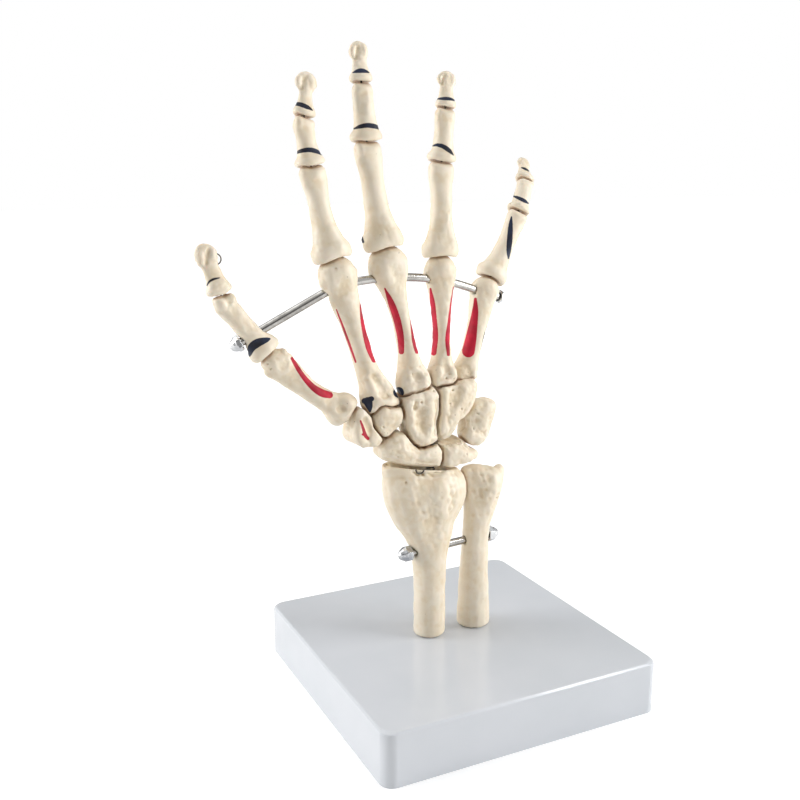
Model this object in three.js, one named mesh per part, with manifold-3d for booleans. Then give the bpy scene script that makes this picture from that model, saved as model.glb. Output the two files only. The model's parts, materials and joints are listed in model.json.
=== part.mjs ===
// Anatomical hand model: the bones of a right hand and forearm end on a square plastic base
// Millimetres, Z up. X runs along the base's front edge to the right, Y runs away from the viewer,
// and the origin is the centre of the base's underside. The back of the hand faces the viewer.
// All heights of bones, rods and wires are counted from the top of the base.

import * as THREE from 'three';
import { mergeVertices } from 'three/addons/utils/BufferGeometryUtils.js';
import Module from 'manifold-3d';

const wasm = await Module();
wasm.setup();

const CUT_PAST = 1;            // how far a cutting tool runs past the face that it opens

// Clearances between pieces
const JOINT_GAP = 0.5;         // between two bones that turn on each other
const BONE_GAP = 0.4;          // between two bones that are only side by side
const SEAT_GAP = 0.3;          // between a piece and what carries it

// Base
const BASE_WIDTH = 140;
const BASE_HEIGHT = 25;
const BASE_CORNER = 6;
const BASE_EDGE = 2;
const BASE_WALL = 3;
const COVER_THICKNESS = 3;
const COVER_SCREW_INSET = 13;
const BOSS_RADIUS = 4.5;

// Screws
const COVER_SCREW = { shank: 1.5, head: 3, headHeight: 1.3, length: 12 };
const BONE_SCREW = { shank: 2, head: 4.2, headHeight: 2.4, length: 20 };

// Forearm bones: rows give the height, half width, depth to the back and to the palm, and the
// centre's place across, from the foot up
const FOREARM_Y = 3.5;
const RADIUS_FOOT_X = -11.2;
const RADIUS_ROWS = [
  [0, 7.6, 7.5, 7.5, 0],
  [25, 7.5, 7.3, 7.3, 0],
  [37, 8.2, 7.6, 7.4, 0],
  [45, 9.6, 8.3, 7.9, -0.2],
  [51, 12, 9, 8.6, -1],
  [57, 15, 10, 9.6, -2.3],
  [63, 18.5, 11, 10.8, -2.2],
  [70, 21, 12, 12, -2.2],
  [75.5, 21.4, 12.5, 12.6, -2.8],
  [79.5, 20.6, 11.6, 12.4, -3.6],
  [83, 18.8, 9.8, 11.6, -5],
  [86, 15.4, 8, 10, -9],
  [88.2, 9.6, 6.4, 7, -14.6],
];
const ULNA_FOOT_X = 13.6;
const ULNA_ROWS = [
  [0, 8.3, 8, 8, 0],
  [11, 7.9, 7.6, 7.6, 0],
  [27, 7.2, 6.9, 6.9, -0.2],
  [45, 6.5, 6.4, 6.4, 0.4],
  [53, 6.7, 6.5, 6.5, 1.4],
  [61, 8.2, 7.4, 7.4, 3],
  [68, 9.9, 8.4, 8.4, 3.8],
  [73.5, 10.9, 8.9, 8.9, 3.8],
  [77, 10.6, 8.4, 8.4, 3.2],
  [79.6, 8.8, 7, 7, 1.4],
  [81.2, 5.8, 4.8, 4.8, -0.8],
];
const ULNA_STYLOID = { right: 13.4, palm: 1, below: 5.8, wide: 3, deep: 3.4, tall: 5.2, lean: 12 };

// Wrist joint: the wrist bones' underside is a spheroid in a wider socket of the radius
const WRIST_CENTRE = new THREE.Vector3(-12, 4, 100.5);
const WRIST_TILT = 8;
const WRIST_BALL = { across: 36, round: 15.5 };
const WRIST_SOCKET = { across: 45, round: 17.3 };

// Wrist spring
const SPRING = { x: -10.5, y: 4.4, foot: 72.5, top: 99.5, coilRadius: 2.1, wire: 0.85, curls: 13 };
const SPRING_BORE = 3;
const SPRING_NOTCH = { foot: 4.4, low: 81, high: 98, deeper: 1.35 };

// Hand: each finger bone's own sizes; lean is to the right, bend is to the palm, both from upright.
// A metacarpal's foot is its place on the wrist, and turn is its roll about its own length.
const RAYS = {
  index: {
    foot: [-36.9, 4.6, 114.4],
    metacarpal: {
      length: 74.1, lean: -17.4, bend: -0.6, turn: 6, baseWide: 18.6, baseDeep: 15.5, faceSlope: -0.15,
      shaftWide: 10.6, shaftDeep: 10.4, headWide: 17.4, headRadius: 7.6, bow: 1.1, sway: -0.2, flare: 1.5,
    },
    proximal: {
      length: 38.2, lean: -13, bend: 1.5, baseWide: 18.2, baseDeep: 15.4,
      shaftWide: 9.8, shaftDeep: 8.8, headWide: 12.8, headRadius: 4.9, bow: 0.7, sway: -0.7,
    },
    middle: {
      length: 19.4, lean: -8, bend: 6, baseWide: 13, baseDeep: 11,
      shaftWide: 8.4, shaftDeep: 6.6, headWide: 10, headRadius: 3.7, bow: 0.4, sway: -0.2,
    },
    distal: {
      length: 18.2, lean: 10.5, bend: 12, baseWide: 9.8, baseDeep: 7.6,
      neckWide: 5.2, neckDeep: 4.4, tuftWide: 9.4, tuftDeep: 4.6,
    },
  },
  middle: {
    foot: [-18.8, 4.2, 121.9],
    metacarpal: {
      length: 69.1, lean: -13.4, bend: -0.6, turn: 0, baseWide: 17, baseDeep: 15.6, faceSlope: 0.1,
      shaftWide: 8.6, shaftDeep: 10, headWide: 18, headRadius: 8, bow: 1.2, sway: 0.6, flare: 0,
    },
    proximal: {
      length: 44, lean: -9.8, bend: 1.5, baseWide: 18.8, baseDeep: 15.8,
      shaftWide: 10.6, shaftDeep: 9.2, headWide: 13.2, headRadius: 5.1, bow: 0.8, sway: -0.4,
    },
    middle: {
      length: 23.6, lean: -2.6, bend: 6, baseWide: 14, baseDeep: 11.6,
      shaftWide: 9.4, shaftDeep: 7.2, headWide: 9.6, headRadius: 3.8, bow: 0.5, sway: 0.1,
    },
    distal: {
      length: 16.4, lean: 0.5, bend: 12, baseWide: 10, baseDeep: 7.6,
      neckWide: 6, neckDeep: 4.6, tuftWide: 8, tuftDeep: 4.6,
    },
  },
  ring: {
    foot: [-4.7, 5, 123.6],
    metacarpal: {
      length: 60.4, lean: -1, bend: 0, turn: -5, baseWide: 14.4, baseDeep: 13.6, faceSlope: 0.02,
      shaftWide: 8.9, shaftDeep: 8.8, headWide: 15, headRadius: 7, bow: 1, sway: 0.3, flare: 0.2,
    },
    proximal: {
      length: 40.2, lean: 1, bend: 1.5, baseWide: 17.2, baseDeep: 14.4,
      shaftWide: 10, shaftDeep: 8.6, headWide: 12.8, headRadius: 4.8, bow: 0.7, sway: 0.3,
    },
    middle: {
      length: 22.8, lean: 7.6, bend: 6, baseWide: 13, baseDeep: 11,
      shaftWide: 8.8, shaftDeep: 6.8, headWide: 10, headRadius: 3.7, bow: 0.4, sway: 0.2,
    },
    distal: {
      length: 16, lean: 10, bend: 12, baseWide: 9.6, baseDeep: 7.6,
      neckWide: 5.8, neckDeep: 4.6, tuftWide: 8.2, tuftDeep: 4.6,
    },
  },
  little: {
    foot: [7.6, 6.8, 123.8],
    metacarpal: {
      length: 50.5, lean: 16.8, bend: 2, turn: -12, baseWide: 13, baseDeep: 12.4, faceSlope: 0.3,
      shaftWide: 9.8, shaftDeep: 8, headWide: 14, headRadius: 6.4, bow: 0.9, sway: 0.5, flare: 0.2,
    },
    proximal: {
      length: 34.2, lean: 30, bend: 5, baseWide: 15.2, baseDeep: 12.6,
      shaftWide: 8.8, shaftDeep: 7.4, headWide: 10.8, headRadius: 4.1, bow: 0.6, sway: 0.3,
    },
    middle: {
      length: 18, lean: 31, bend: 22, baseWide: 11, baseDeep: 9.4,
      shaftWide: 8, shaftDeep: 6, headWide: 9, headRadius: 3.3, bow: 0.3, sway: 0.2,
    },
    distal: {
      length: 15.4, lean: 29, bend: 42, baseWide: 9.4, baseDeep: 6.6,
      neckWide: 5, neckDeep: 4, tuftWide: 7, tuftDeep: 4.2,
    },
  },
};
const THUMB = {
  foot: [-51.8, 6, 114.9],
  metacarpal: {
    length: 47.8, lean: -51.8, bend: 2, turn: 0, baseWide: 16.4, baseDeep: 14, faceSlope: 0,
    shaftWide: 10.6, shaftDeep: 8.8, headWide: 14, headRadius: 6.3, bow: 0.8, sway: -1.6, flare: -0.4,
  },
  proximal: {
    length: 31, lean: -38.4, bend: 4, baseWide: 14.3, baseDeep: 12,
    shaftWide: 9.2, shaftDeep: 8, headWide: 10.6, headRadius: 4.4, bow: 0.5, sway: 0,
  },
  distal: {
    length: 21.4, lean: -17, bend: 8, baseWide: 11, baseDeep: 8.6,
    neckWide: 7.2, neckDeep: 5.4, tuftWide: 9.2, tuftDeep: 5.2,
  },
};

// Wrist bones: outlines are points across and up, seen from the back of the hand, and depth is
// from the bone's middle to its back and its palm side
const CARPALS = {
  trapezium: {
    outline: [
      [-49.6, 119], [-45.4, 116.4], [-42.6, 113.5], [-42.2, 109.4], [-40.2, 105.2], [-36.6, 102.4], [-38, 99.4],
      [-41.8, 98.2], [-47.5, 99.4], [-52.6, 101.8], [-53.2, 105], [-51.4, 109.5], [-50.6, 114.5],
    ],
    middle: 5, depth: 8,
  },
  trapezoid: {
    outline: [
      [-42.6, 113.5], [-40.4, 116.2], [-37.8, 119.2], [-34.9, 117.6], [-32, 117], [-27.4, 116.8], [-27, 110.1],
      [-29.6, 107.3], [-32.6, 104.9], [-34.2, 103], [-36.6, 102.4], [-40.2, 105.2], [-42.2, 109.4],
    ],
    middle: 4, depth: 7.4,
  },
  capitate: {
    outline: [
      [-27.4, 115.9], [-27.2, 121], [-21.4, 124.6], [-9.4, 124.4], [-8.9, 116.6], [-9.6, 111], [-10.8, 107.3],
      [-10.9, 102.8], [-9.2, 97.4], [-13.5, 95.9], [-17.5, 95.5], [-21.2, 96.8], [-24, 100.2], [-25.2, 105.3],
      [-27, 110.1],
    ],
    middle: 4, depth: 8.6,
  },
  hamate: {
    outline: [
      [-9.4, 124.4], [-1.4, 125.2], [4, 125.4], [12, 127], [11.4, 120.4], [10.6, 115.4], [8.2, 111.8],
      [6.4, 108.4], [0.7, 106.2], [-0.6, 103], [-2.5, 99.6], [-5.4, 97.2], [-9.2, 97.4], [-10.9, 102.8],
      [-10.8, 107.3], [-9.6, 111], [-8.9, 116.6],
    ],
    middle: 4.6, depth: 8.4,
  },
  scaphoid: {
    outline: [
      [-38, 99.4], [-36.6, 102.4], [-34.2, 103], [-31.4, 104.2], [-28.4, 104.6], [-26.4, 103.4], [-24, 100.2],
      [-21.2, 96.8], [-17.5, 95.5], [-13.5, 95.9], [-9.2, 97.4], [-7.9, 94.8], [-6.7, 91.5], [-7.4, 87.4],
      [-8, 83.4], [-20, 83.4], [-31, 87.6], [-36.4, 91], [-38.6, 95],
    ],
    middle: 4, depth: 8.4,
  },
  lunate: {
    outline: [
      [-9.2, 97.4], [-5.4, 97.2], [-1, 97.6], [3.8, 97.6], [5.6, 96.4], [7.4, 93.7], [10, 92.2], [12.8, 91],
      [12.6, 87.4], [9, 84], [-8, 83.4], [-7.4, 87.4], [-6.7, 91.5], [-7.9, 94.8],
    ],
    middle: 4.4, depth: 8,
  },
  triquetrum: {
    outline: [
      [8.2, 111.8], [12.4, 114.2], [16.4, 114.2], [21.6, 113], [22.8, 109.4], [21.4, 103.9], [19.4, 99.2],
      [17.6, 95], [14, 92.4], [10, 92.2], [7.4, 93.7], [5.6, 96.4], [6.8, 100.9], [7, 105.6], [6.4, 108.4],
    ],
    middle: 4.8, depth: 6.6,
  },
  pisiform: {
    outline: [
      [19.4, 110.6], [24.8, 112.4], [29.2, 110.8], [30.6, 107], [28.8, 102.2], [24, 99.8], [18.6, 103.6],
    ],
    middle: 15.1, depth: 4.3,
  },
};
const CARPAL_ROUNDING = 0.42;
const CARPAL_SIDES = 24;
// The index metacarpal's base straddles the trapezoid: its notch is this much deeper than that bone
const NOTCH_PAST = 3;

// How closely a finger bone's foot hugs the head below it across its width
const PALM_HUG = 9;
const FINGER_HUG = 60;


// Rods and nuts
const KNUCKLE_ROD = 1.9;
const KNUCKLE_ROD_BELOW = { index: 12.8, middle: 15, ring: 12, little: 8 };
const KNUCKLE_ROD_UP_THUMB = 8.6;
const KNUCKLE_ROD_PAST_LITTLE = 10.3;
const KNUCKLE_ROD_BEND = 0.16;      // share of the way to the next bone where the bend ends
const KNUCKLE_ROD_STEPS = 22;
const KNUCKLE_NUT = { across: 6.4, hex: 2.4, dome: 3, chamfer: 0.4 };
const KNUCKLE_END_NUT = { across: 5.8, hex: 1.6, dome: 0.8, chamfer: 0.4 };
const FOREARM_ROD = 1.9;
const FOREARM_ROD_LEFT = { height: 43.9, y: 1.8 };
const FOREARM_ROD_RIGHT = { height: 44.9, y: 4.6 };
const FOREARM_NUT = { across: 7, hex: 3.2, dome: 3.5, chamfer: 0.5 };

// Wires
const JOINT_WIRE = { radius: 0.45, start: 1.5, intoBase: 6 };
const THUMB_LOOP = { radius: 2.3, wire: 0.32, up: 18.4, side: 3.4, from: -150, to: 130 };
const WRIST_HOOK = { radius: 2.1, wire: 0.4, from: 170, to: 340, centre: new THREE.Vector3(-20.5, -4.6, 86.8) };

const BONE_COLOUR = 0xe9dcc4;
const BASE_COLOUR = 0xd4d7dc;
const STEEL_COLOUR = 0x9a9a98;
const NUT_COLOUR = 0xc4c6c8;
const COVER_COLOUR = 0x8f9296;

const radians = THREE.MathUtils.degToRad;
const UP = new THREE.Vector3(0, 0, 1);

// A closed surface through rings of points, closed at each end by a fan to one point
function ringSurface(rings, firstPoint, lastPoint) {
  const sides = rings[0].length;
  const points = [firstPoint, ...rings.flat(), lastPoint];
  const last = points.length - 1;
  const at = (ring, side) => 1 + ring * sides + (side % sides);
  const faces = [];
  for (let side = 0; side < sides; side++) {
    faces.push(0, at(0, side + 1), at(0, side));
    for (let ring = 0; ring < rings.length - 1; ring++) {
      faces.push(at(ring, side), at(ring, side + 1), at(ring + 1, side));
      faces.push(at(ring, side + 1), at(ring + 1, side + 1), at(ring + 1, side));
    }
    faces.push(last, at(rings.length - 1, side), at(rings.length - 1, side + 1));
  }
  const geometry = new THREE.BufferGeometry().setFromPoints(points);
  geometry.setIndex(faces);
  return outward(geometry);
}

// The same geometry with its faces pointing out
function outward(geometry) {
  const points = geometry.attributes.position;
  const index = geometry.index.array;
  const [a, b, c] = [new THREE.Vector3(), new THREE.Vector3(), new THREE.Vector3()];
  let volume = 0;
  for (let i = 0; i < index.length; i += 3) {
    a.fromBufferAttribute(points, index[i]);
    b.fromBufferAttribute(points, index[i + 1]);
    c.fromBufferAttribute(points, index[i + 2]);
    volume += a.dot(b.cross(c));
  }
  if (volume < 0) {
    for (let i = 0; i < index.length; i += 3) {
      [index[i], index[i + 1]] = [index[i + 1], index[i]];
    }
  }
  return geometry;
}

// A solid for joining and cutting, made from a closed geometry, and a geometry made from a solid
function toSolid(geometry) {
  const plain = geometry.clone();
  plain.deleteAttribute('normal');
  plain.deleteAttribute('uv');
  const merged = mergeVertices(plain, 1e-4);
  return new wasm.Manifold(new wasm.Mesh({
    numProp: 3,
    vertProperties: new Float32Array(merged.attributes.position.array),
    triVerts: new Uint32Array(merged.index.array),
  }));
}

function toGeometry(solid) {
  const mesh = solid.getMesh();
  const geometry = new THREE.BufferGeometry();
  geometry.setAttribute('position', new THREE.BufferAttribute(mesh.vertProperties, 3));
  geometry.setIndex(new THREE.BufferAttribute(mesh.triVerts, 1));
  return geometry;
}

function cutBy(solid, ...tools) {
  return tools.reduce((left, tool) => left.subtract(tool), solid);
}

// One row of a table at any place along it, by a smooth curve that never overshoots the rows
function readRow(rows, place) {
  const last = rows.length - 1;
  const inside = Math.min(Math.max(place, rows[0][0]), rows[last][0]);
  let i = 0;
  while (i < last - 1 && inside > rows[i + 1][0]) i++;
  const span = rows[i + 1][0] - rows[i][0];
  const t = (inside - rows[i][0]) / span;
  const slope = (k, column) => {
    if (k === 0 || k === last) return 0;
    const before = (rows[k][column] - rows[k - 1][column]) / (rows[k][0] - rows[k - 1][0]);
    const after = (rows[k + 1][column] - rows[k][column]) / (rows[k + 1][0] - rows[k][0]);
    return before * after <= 0 ? 0 : 2 * before * after / (before + after);
  };
  return rows[i].map((start, column) => {
    if (column === 0) return place;
    const end = rows[i + 1][column];
    const bend = t * t * (3 - 2 * t);
    const lead = t * (1 - t) * (1 - t) * slope(i, column) - t * t * (1 - t) * slope(i + 1, column);
    return start + (end - start) * bend + lead * span;
  });
}

// A ring of points around a bone: depth is to the back below the middle and to the palm above it
function boneRing(row, sides, squareness) {
  const [height, wide, back, palm, across] = row;
  const points = [];
  for (let side = 0; side < sides; side++) {
    const angle = 2 * Math.PI * side / sides;
    const x = Math.sign(Math.cos(angle)) * Math.abs(Math.cos(angle)) ** squareness;
    const y = Math.sign(Math.sin(angle)) * Math.abs(Math.sin(angle)) ** squareness;
    points.push(new THREE.Vector3((across ?? 0) + wide * x, (y > 0 ? palm : back) * y, height));
  }
  return points;
}

// Hollow at a bone's foot that fits round the head below it; radius is the hollow's, at its middle
function hollow(radius, hug, groove, halfWide) {
  return (x, y) => {
    const ridge = groove * Math.max(0, 1 - (x / halfWide) ** 2);
    const round = Math.max(radius - x * x / (2 * hug) - ridge, 0.55 * radius);
    const reach = Math.min(Math.abs(y), 0.6 * radius) * round / radius;
    return Math.sqrt(round * round - reach * reach) - radius;
  };
}

// Rings for a bone's foot: two small ones inside the hollow and the rim
function footRings(rim, cup) {
  return [0.3, 0.66, 1].map((share) => {
    return rim.map(({ x, y }) => new THREE.Vector3(share * x, share * y, cup(share * x, share * y)));
  });
}

// Turns a bone's head about its joint so that it faces the next bone; the neck turns less
function turnHead(points, centre, radius, aim) {
  for (const point of points) {
    const share = THREE.MathUtils.smoothstep(point.z, centre - 1.3 * radius, centre);
    if (share === 0) continue;
    const turn = new THREE.Quaternion().slerp(aim, share);
    point.z -= centre;
    point.applyQuaternion(turn);
    point.z += centre;
  }
}

const IP_GROOVE = 0.45;
const HEAD_ANGLES = [22, 44, 64, 80];
const STRAIGHT = new THREE.Quaternion();

// A finger bone with a hollow foot at height 0 and a grooved, rolled head at the top
function phalanx(size, cup, aim, sides = 12) {
  const { length, headRadius, bow, sway } = size;
  const centre = length - headRadius;
  const [baseWide, shaftWide, headWide] = [size.baseWide / 2, size.shaftWide / 2, size.headWide / 2];
  const [baseDeep, shaftDeep] = [size.baseDeep / 2, size.shaftDeep / 2];
  const flareWide = shaftWide + 0.26 * (baseWide - shaftWide);
  const flareDeep = shaftDeep + 0.3 * (baseDeep - shaftDeep);
  const neckWide = 0.5 * (shaftWide + headWide);
  const neck = centre - 1.15 * headRadius;
  const shaftTop = Math.min(0.64 * length, neck - 0.08 * length);
  const rows = [
    [0, 0.93 * baseWide, 0.84 * baseDeep, 0.9 * baseDeep, 0],
    [0.05 * length, baseWide, 0.96 * baseDeep, baseDeep, 0],
    [0.13 * length, 0.86 * baseWide, 0.9 * baseDeep, 0.88 * baseDeep, 0.3 * sway],
    [0.25 * length, flareWide, flareDeep + 0.6 * bow, flareDeep, sway],
    [0.4 * length, shaftWide, shaftDeep + bow, shaftDeep - bow, sway],
    [shaftTop, shaftWide, shaftDeep + bow, shaftDeep - bow, 0.7 * sway],
    [neck, neckWide, shaftDeep + 0.4 * bow, 0.66 * headRadius, 0],
    [centre - 0.5 * headRadius, 0.98 * headWide, 0.94 * headRadius, 0.85 * headRadius, 0],
    [centre, headWide, headRadius, headRadius, 0],
  ];
  const rim = boneRing(readRow(rows, 0), sides, 0.92);
  const heights = rows.slice(1).map((row) => row[0]);
  heights.splice(4, 0, 0.5 * (heights[3] + shaftTop));
  const rings = [...footRings(rim, cup), ...heights.map((z) => boneRing(readRow(rows, z), sides, 0.92))];
  for (const degrees of HEAD_ANGLES) {
    const up = headRadius * Math.sin(radians(degrees));
    const deep = headRadius * Math.cos(radians(degrees));
    const wide = headWide * (1 - 0.3 * (1 - Math.cos(radians(degrees))));
    rings.push(boneRing([centre + up, wide, deep, deep, 0], sides, 0.8));
  }
  for (const point of rings.slice(-HEAD_ANGLES.length - 2).flat()) {
    const groove = IP_GROOVE * Math.max(0, 1 - (point.x / headWide) ** 2) / headRadius;
    point.y *= 1 - groove;
    point.z = centre + (point.z - centre) * (1 - groove);
  }
  const foot = new THREE.Vector3(0, 0, cup(0, 0));
  const top = new THREE.Vector3(0, 0, length - IP_GROOVE);
  turnHead([...rings.flat(), top], centre, headRadius, aim);
  return ringSurface(rings, foot, top);
}

// A finger's end bone: hollow foot, narrow neck and a flat, spread tuft
function endPhalanx(size, cup, sides = 12) {
  const { length } = size;
  const [baseWide, neckWide, tuftWide] = [size.baseWide / 2, size.neckWide / 2, size.tuftWide / 2];
  const [baseDeep, neckDeep, tuftDeep] = [size.baseDeep / 2, size.neckDeep / 2, size.tuftDeep / 2];
  const rows = [
    [0, 0.92 * baseWide, 0.8 * baseDeep, 0.94 * baseDeep, 0],
    [0.09 * length, baseWide, 0.92 * baseDeep, baseDeep, 0],
    [0.19 * length, 0.9 * baseWide, 0.86 * baseDeep, 0.84 * baseDeep, 0],
    [0.33 * length, 0.5 * (baseWide + neckWide), neckDeep, 0.9 * neckDeep, 0],
    [0.52 * length, neckWide, neckDeep, 0.8 * neckDeep, 0],
    [0.62 * length, 0.5 * (neckWide + tuftWide), 0.95 * tuftDeep, tuftDeep, 0],
    [0.71 * length, tuftWide, tuftDeep, 1.1 * tuftDeep, 0],
    [0.84 * length, 0.9 * tuftWide, 0.92 * tuftDeep, tuftDeep, 0],
    [0.94 * length, 0.62 * tuftWide, 0.7 * tuftDeep, 0.7 * tuftDeep, 0],
    [0.985 * length, 0.3 * tuftWide, 0.36 * tuftDeep, 0.36 * tuftDeep, 0],
  ];
  const rim = boneRing(rows[0], sides, 0.92);
  const rings = [...footRings(rim, cup), ...rows.slice(1).map((row) => boneRing(row, sides, 0.92))];
  return ringSurface(rings, new THREE.Vector3(0, 0, cup(0, 0)), new THREE.Vector3(0, 0, length));
}

// A bone of the palm: wide foot, bowed shaft and a round head; grow makes it larger all round
function metacarpal(size, grow, aim, sides = 14) {
  const { length, headRadius, bow, sway, flare } = size;
  const centre = length - headRadius;
  const [baseWide, shaftWide, headWide] = [size.baseWide / 2, size.shaftWide / 2, size.headWide / 2];
  const [baseDeep, shaftDeep] = [size.baseDeep / 2, size.shaftDeep / 2];
  const flareWide = shaftWide + 0.34 * (baseWide - shaftWide);
  const flareDeep = 0.5 * (baseDeep + shaftDeep);
  const rows = [
    [0, 0.86 * baseWide, 0.84 * baseDeep, 0.84 * baseDeep, flare],
    [0.035 * length, 0.97 * baseWide, 0.97 * baseDeep, 0.96 * baseDeep, flare],
    [0.1 * length, 0.94 * baseWide, 0.96 * baseDeep, 0.94 * baseDeep, flare],
    [0.18 * length, flareWide, flareDeep + 0.5 * bow, 0.8 * baseDeep, 0.6 * flare + 0.4 * sway],
    [0.3 * length, 1.02 * shaftWide, shaftDeep + bow, shaftDeep, sway],
    [0.5 * length, shaftWide, shaftDeep + bow, shaftDeep - bow, sway],
    [0.66 * length, 1.22 * shaftWide, shaftDeep + 0.8 * bow, shaftDeep - 0.6 * bow, 0.5 * sway],
    [centre - 0.95 * headRadius, 0.86 * headWide, 0.74 * headRadius + 0.4 * bow, 0.66 * headRadius, 0],
    [centre - 0.45 * headRadius, headWide, 0.93 * headRadius, 0.86 * headRadius, 0],
    [centre, 0.94 * headWide, headRadius, headRadius, 0],
  ];
  const rings = rows.map(([z, wide, back, palm, across]) => {
    return boneRing([z, wide + grow, back + grow, palm + grow, across], sides, 0.9);
  });
  for (const point of rings.slice(0, 2).flat()) point.z += size.faceSlope * point.x - grow;
  const knob = headRadius + grow;
  for (const degrees of HEAD_ANGLES) {
    const deep = knob * Math.cos(radians(degrees));
    const wide = (0.94 * headWide + grow) * Math.cos(radians(degrees));
    rings.push(boneRing([centre + knob * Math.sin(radians(degrees)), wide, deep, deep, 0], sides, 1));
  }
  const foot = new THREE.Vector3(flare, 0, size.faceSlope * flare - grow);
  const top = new THREE.Vector3(0, 0, length + grow);
  turnHead([...rings.flat(), top], centre, headRadius, aim);
  return ringSurface(rings, foot, top);
}

// Place of a bone: its foot's point, its lean to the right, its bend to the palm and its roll
function placed(point, lean, bend, turn) {
  const turned = new THREE.Matrix4().makeRotationY(radians(lean));
  turned.multiply(new THREE.Matrix4().makeRotationX(-radians(bend)));
  turned.multiply(new THREE.Matrix4().makeRotationZ(radians(turn)));
  return turned.setPosition(point);
}

function upAlong(matrix, distance) {
  return new THREE.Vector3(0, 0, distance).applyMatrix4(matrix);
}

// A round bar between two points
function bar(from, to, radius, sides) {
  const path = new THREE.LineCurve3(from, to);
  return new THREE.ExtrudeGeometry(circle(radius, sides), { steps: 1, bevelEnabled: false, extrudePath: path });
}

function circle(radius, sides) {
  const points = Array.from({ length: sides }, (_, i) => {
    const angle = 2 * Math.PI * i / sides;
    return new THREE.Vector2(radius * Math.cos(angle), radius * Math.sin(angle));
  });
  return new THREE.Shape(points);
}

function tube(path, radius, sides, steps) {
  return new THREE.ExtrudeGeometry(circle(radius, sides), { steps, bevelEnabled: false, extrudePath: path });
}

// A round wire bent to part of a circle; angles are in degrees from the right, seen from the back
function wireArc({ radius, wire, from, to }, grow, steps = 9) {
  const overrun = grow / radius;
  const [first, last] = [radians(from) - overrun, radians(to) + overrun];
  const points = Array.from({ length: steps }, (_, i) => {
    const angle = first + (last - first) * i / (steps - 1);
    return new THREE.Vector3(radius * Math.cos(angle), 0, radius * Math.sin(angle));
  });
  return tube(new THREE.CatmullRomCurve3(points), wire + grow, 6, 12);
}

// Turns a geometry whose length is along Z so that it runs along a direction from a point
function aimed(geometry, point, direction) {
  const turn = new THREE.Quaternion().setFromUnitVectors(UP, direction.clone().normalize());
  return geometry.applyQuaternion(turn).translate(point.x, point.y, point.z);
}

const model = new THREE.Group();
const skeleton = new THREE.Group();
skeleton.position.z = BASE_HEIGHT;
model.add(skeleton);
skeleton.updateWorldMatrix(true, false);
const materials = {
  bone: new THREE.MeshStandardMaterial({ color: BONE_COLOUR, roughness: 0.55, metalness: 0 }),
  base: new THREE.MeshStandardMaterial({ color: BASE_COLOUR, roughness: 0.25, metalness: 0 }),
  steel: new THREE.MeshStandardMaterial({ color: STEEL_COLOUR, roughness: 0.3, metalness: 1 }),
  nut: new THREE.MeshStandardMaterial({ color: NUT_COLOUR, roughness: 0.15, metalness: 1 }),
  cover: new THREE.MeshStandardMaterial({ color: COVER_COLOUR, roughness: 0.6, metalness: 0 }),
};

// Turns what is given in one group's frame into the frame of a group inside it
function framed(group, given) {
  group.updateWorldMatrix(true, false);
  return group.matrixWorld.clone().invert().multiply(given.matrixWorld);
}

// Adds a named sub-part to a group; its geometry is given in the model's or the skeleton's frame
function add(name, shape, material, group = skeleton, given = skeleton) {
  const geometry = shape.isBufferGeometry ? shape : toGeometry(shape);
  geometry.applyMatrix4(framed(group, given));
  geometry.computeVertexNormals();
  const mesh = new THREE.Mesh(geometry, material);
  mesh.name = name;
  group.add(mesh);
}

// A group that turns about a joint: its origin is the joint's centre and its Z runs up the bone
function hinge(name, matrix, parent) {
  const group = new THREE.Group();
  group.name = name;
  group.applyMatrix4(framed(parent, skeleton).multiply(matrix));
  parent.add(group);
  return group;
}

// Base

function roundedSquare(width, corner) {
  const half = width / 2;
  const shape = new THREE.Shape();
  shape.absarc(half - corner, half - corner, corner, 0, Math.PI / 2);
  shape.absarc(corner - half, half - corner, corner, Math.PI / 2, Math.PI);
  shape.absarc(corner - half, corner - half, corner, Math.PI, 1.5 * Math.PI);
  shape.absarc(half - corner, corner - half, corner, 1.5 * Math.PI, 2 * Math.PI);
  return shape;
}

function slab(width, corner, low, high) {
  const depth = high - low;
  const geometry = new THREE.ExtrudeGeometry(roundedSquare(width, corner), {
    depth, bevelEnabled: false, curveSegments: 5,
  });
  return geometry.translate(0, 0, low);
}

// Outside of the base: upright sides and a top edge rounded in steps
function baseBlock() {
  const outline = roundedSquare(BASE_WIDTH, BASE_CORNER).getPoints(5);
  const unique = outline.filter((p, i) => i === 0 || p.distanceTo(outline[i - 1]) > 1e-6);
  if (unique[0].distanceTo(unique.at(-1)) < 1e-6) unique.pop();
  const inwards = (amount, z) => unique.map((p) => {
    const scale = 1 - 2 * amount / BASE_WIDTH;
    return new THREE.Vector3(p.x * scale, p.y * scale, z);
  });
  const rings = [inwards(0, 0), inwards(0, BASE_HEIGHT - BASE_EDGE)];
  for (const degrees of [30, 60, 90]) {
    const inset = BASE_EDGE * (1 - Math.cos(radians(degrees)));
    rings.push(inwards(inset, BASE_HEIGHT - BASE_EDGE * (1 - Math.sin(radians(degrees)))));
  }
  return ringSurface(rings, new THREE.Vector3(0, 0, 0), new THREE.Vector3(0, 0, BASE_HEIGHT));
}

const boneFeet = [[RADIUS_FOOT_X, FOREARM_Y], [ULNA_FOOT_X, FOREARM_Y]];
const screwReach = BASE_WIDTH / 2 - COVER_SCREW_INSET;
const coverCorners = {
  front_left: [-screwReach, -screwReach],
  front_right: [screwReach, -screwReach],
  rear_left: [-screwReach, screwReach],
  rear_right: [screwReach, screwReach],
};

function post(x, y, low, high, radius, sides = 12) {
  return toSolid(bar(new THREE.Vector3(x, y, low), new THREE.Vector3(x, y, high), radius, sides));
}

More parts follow.
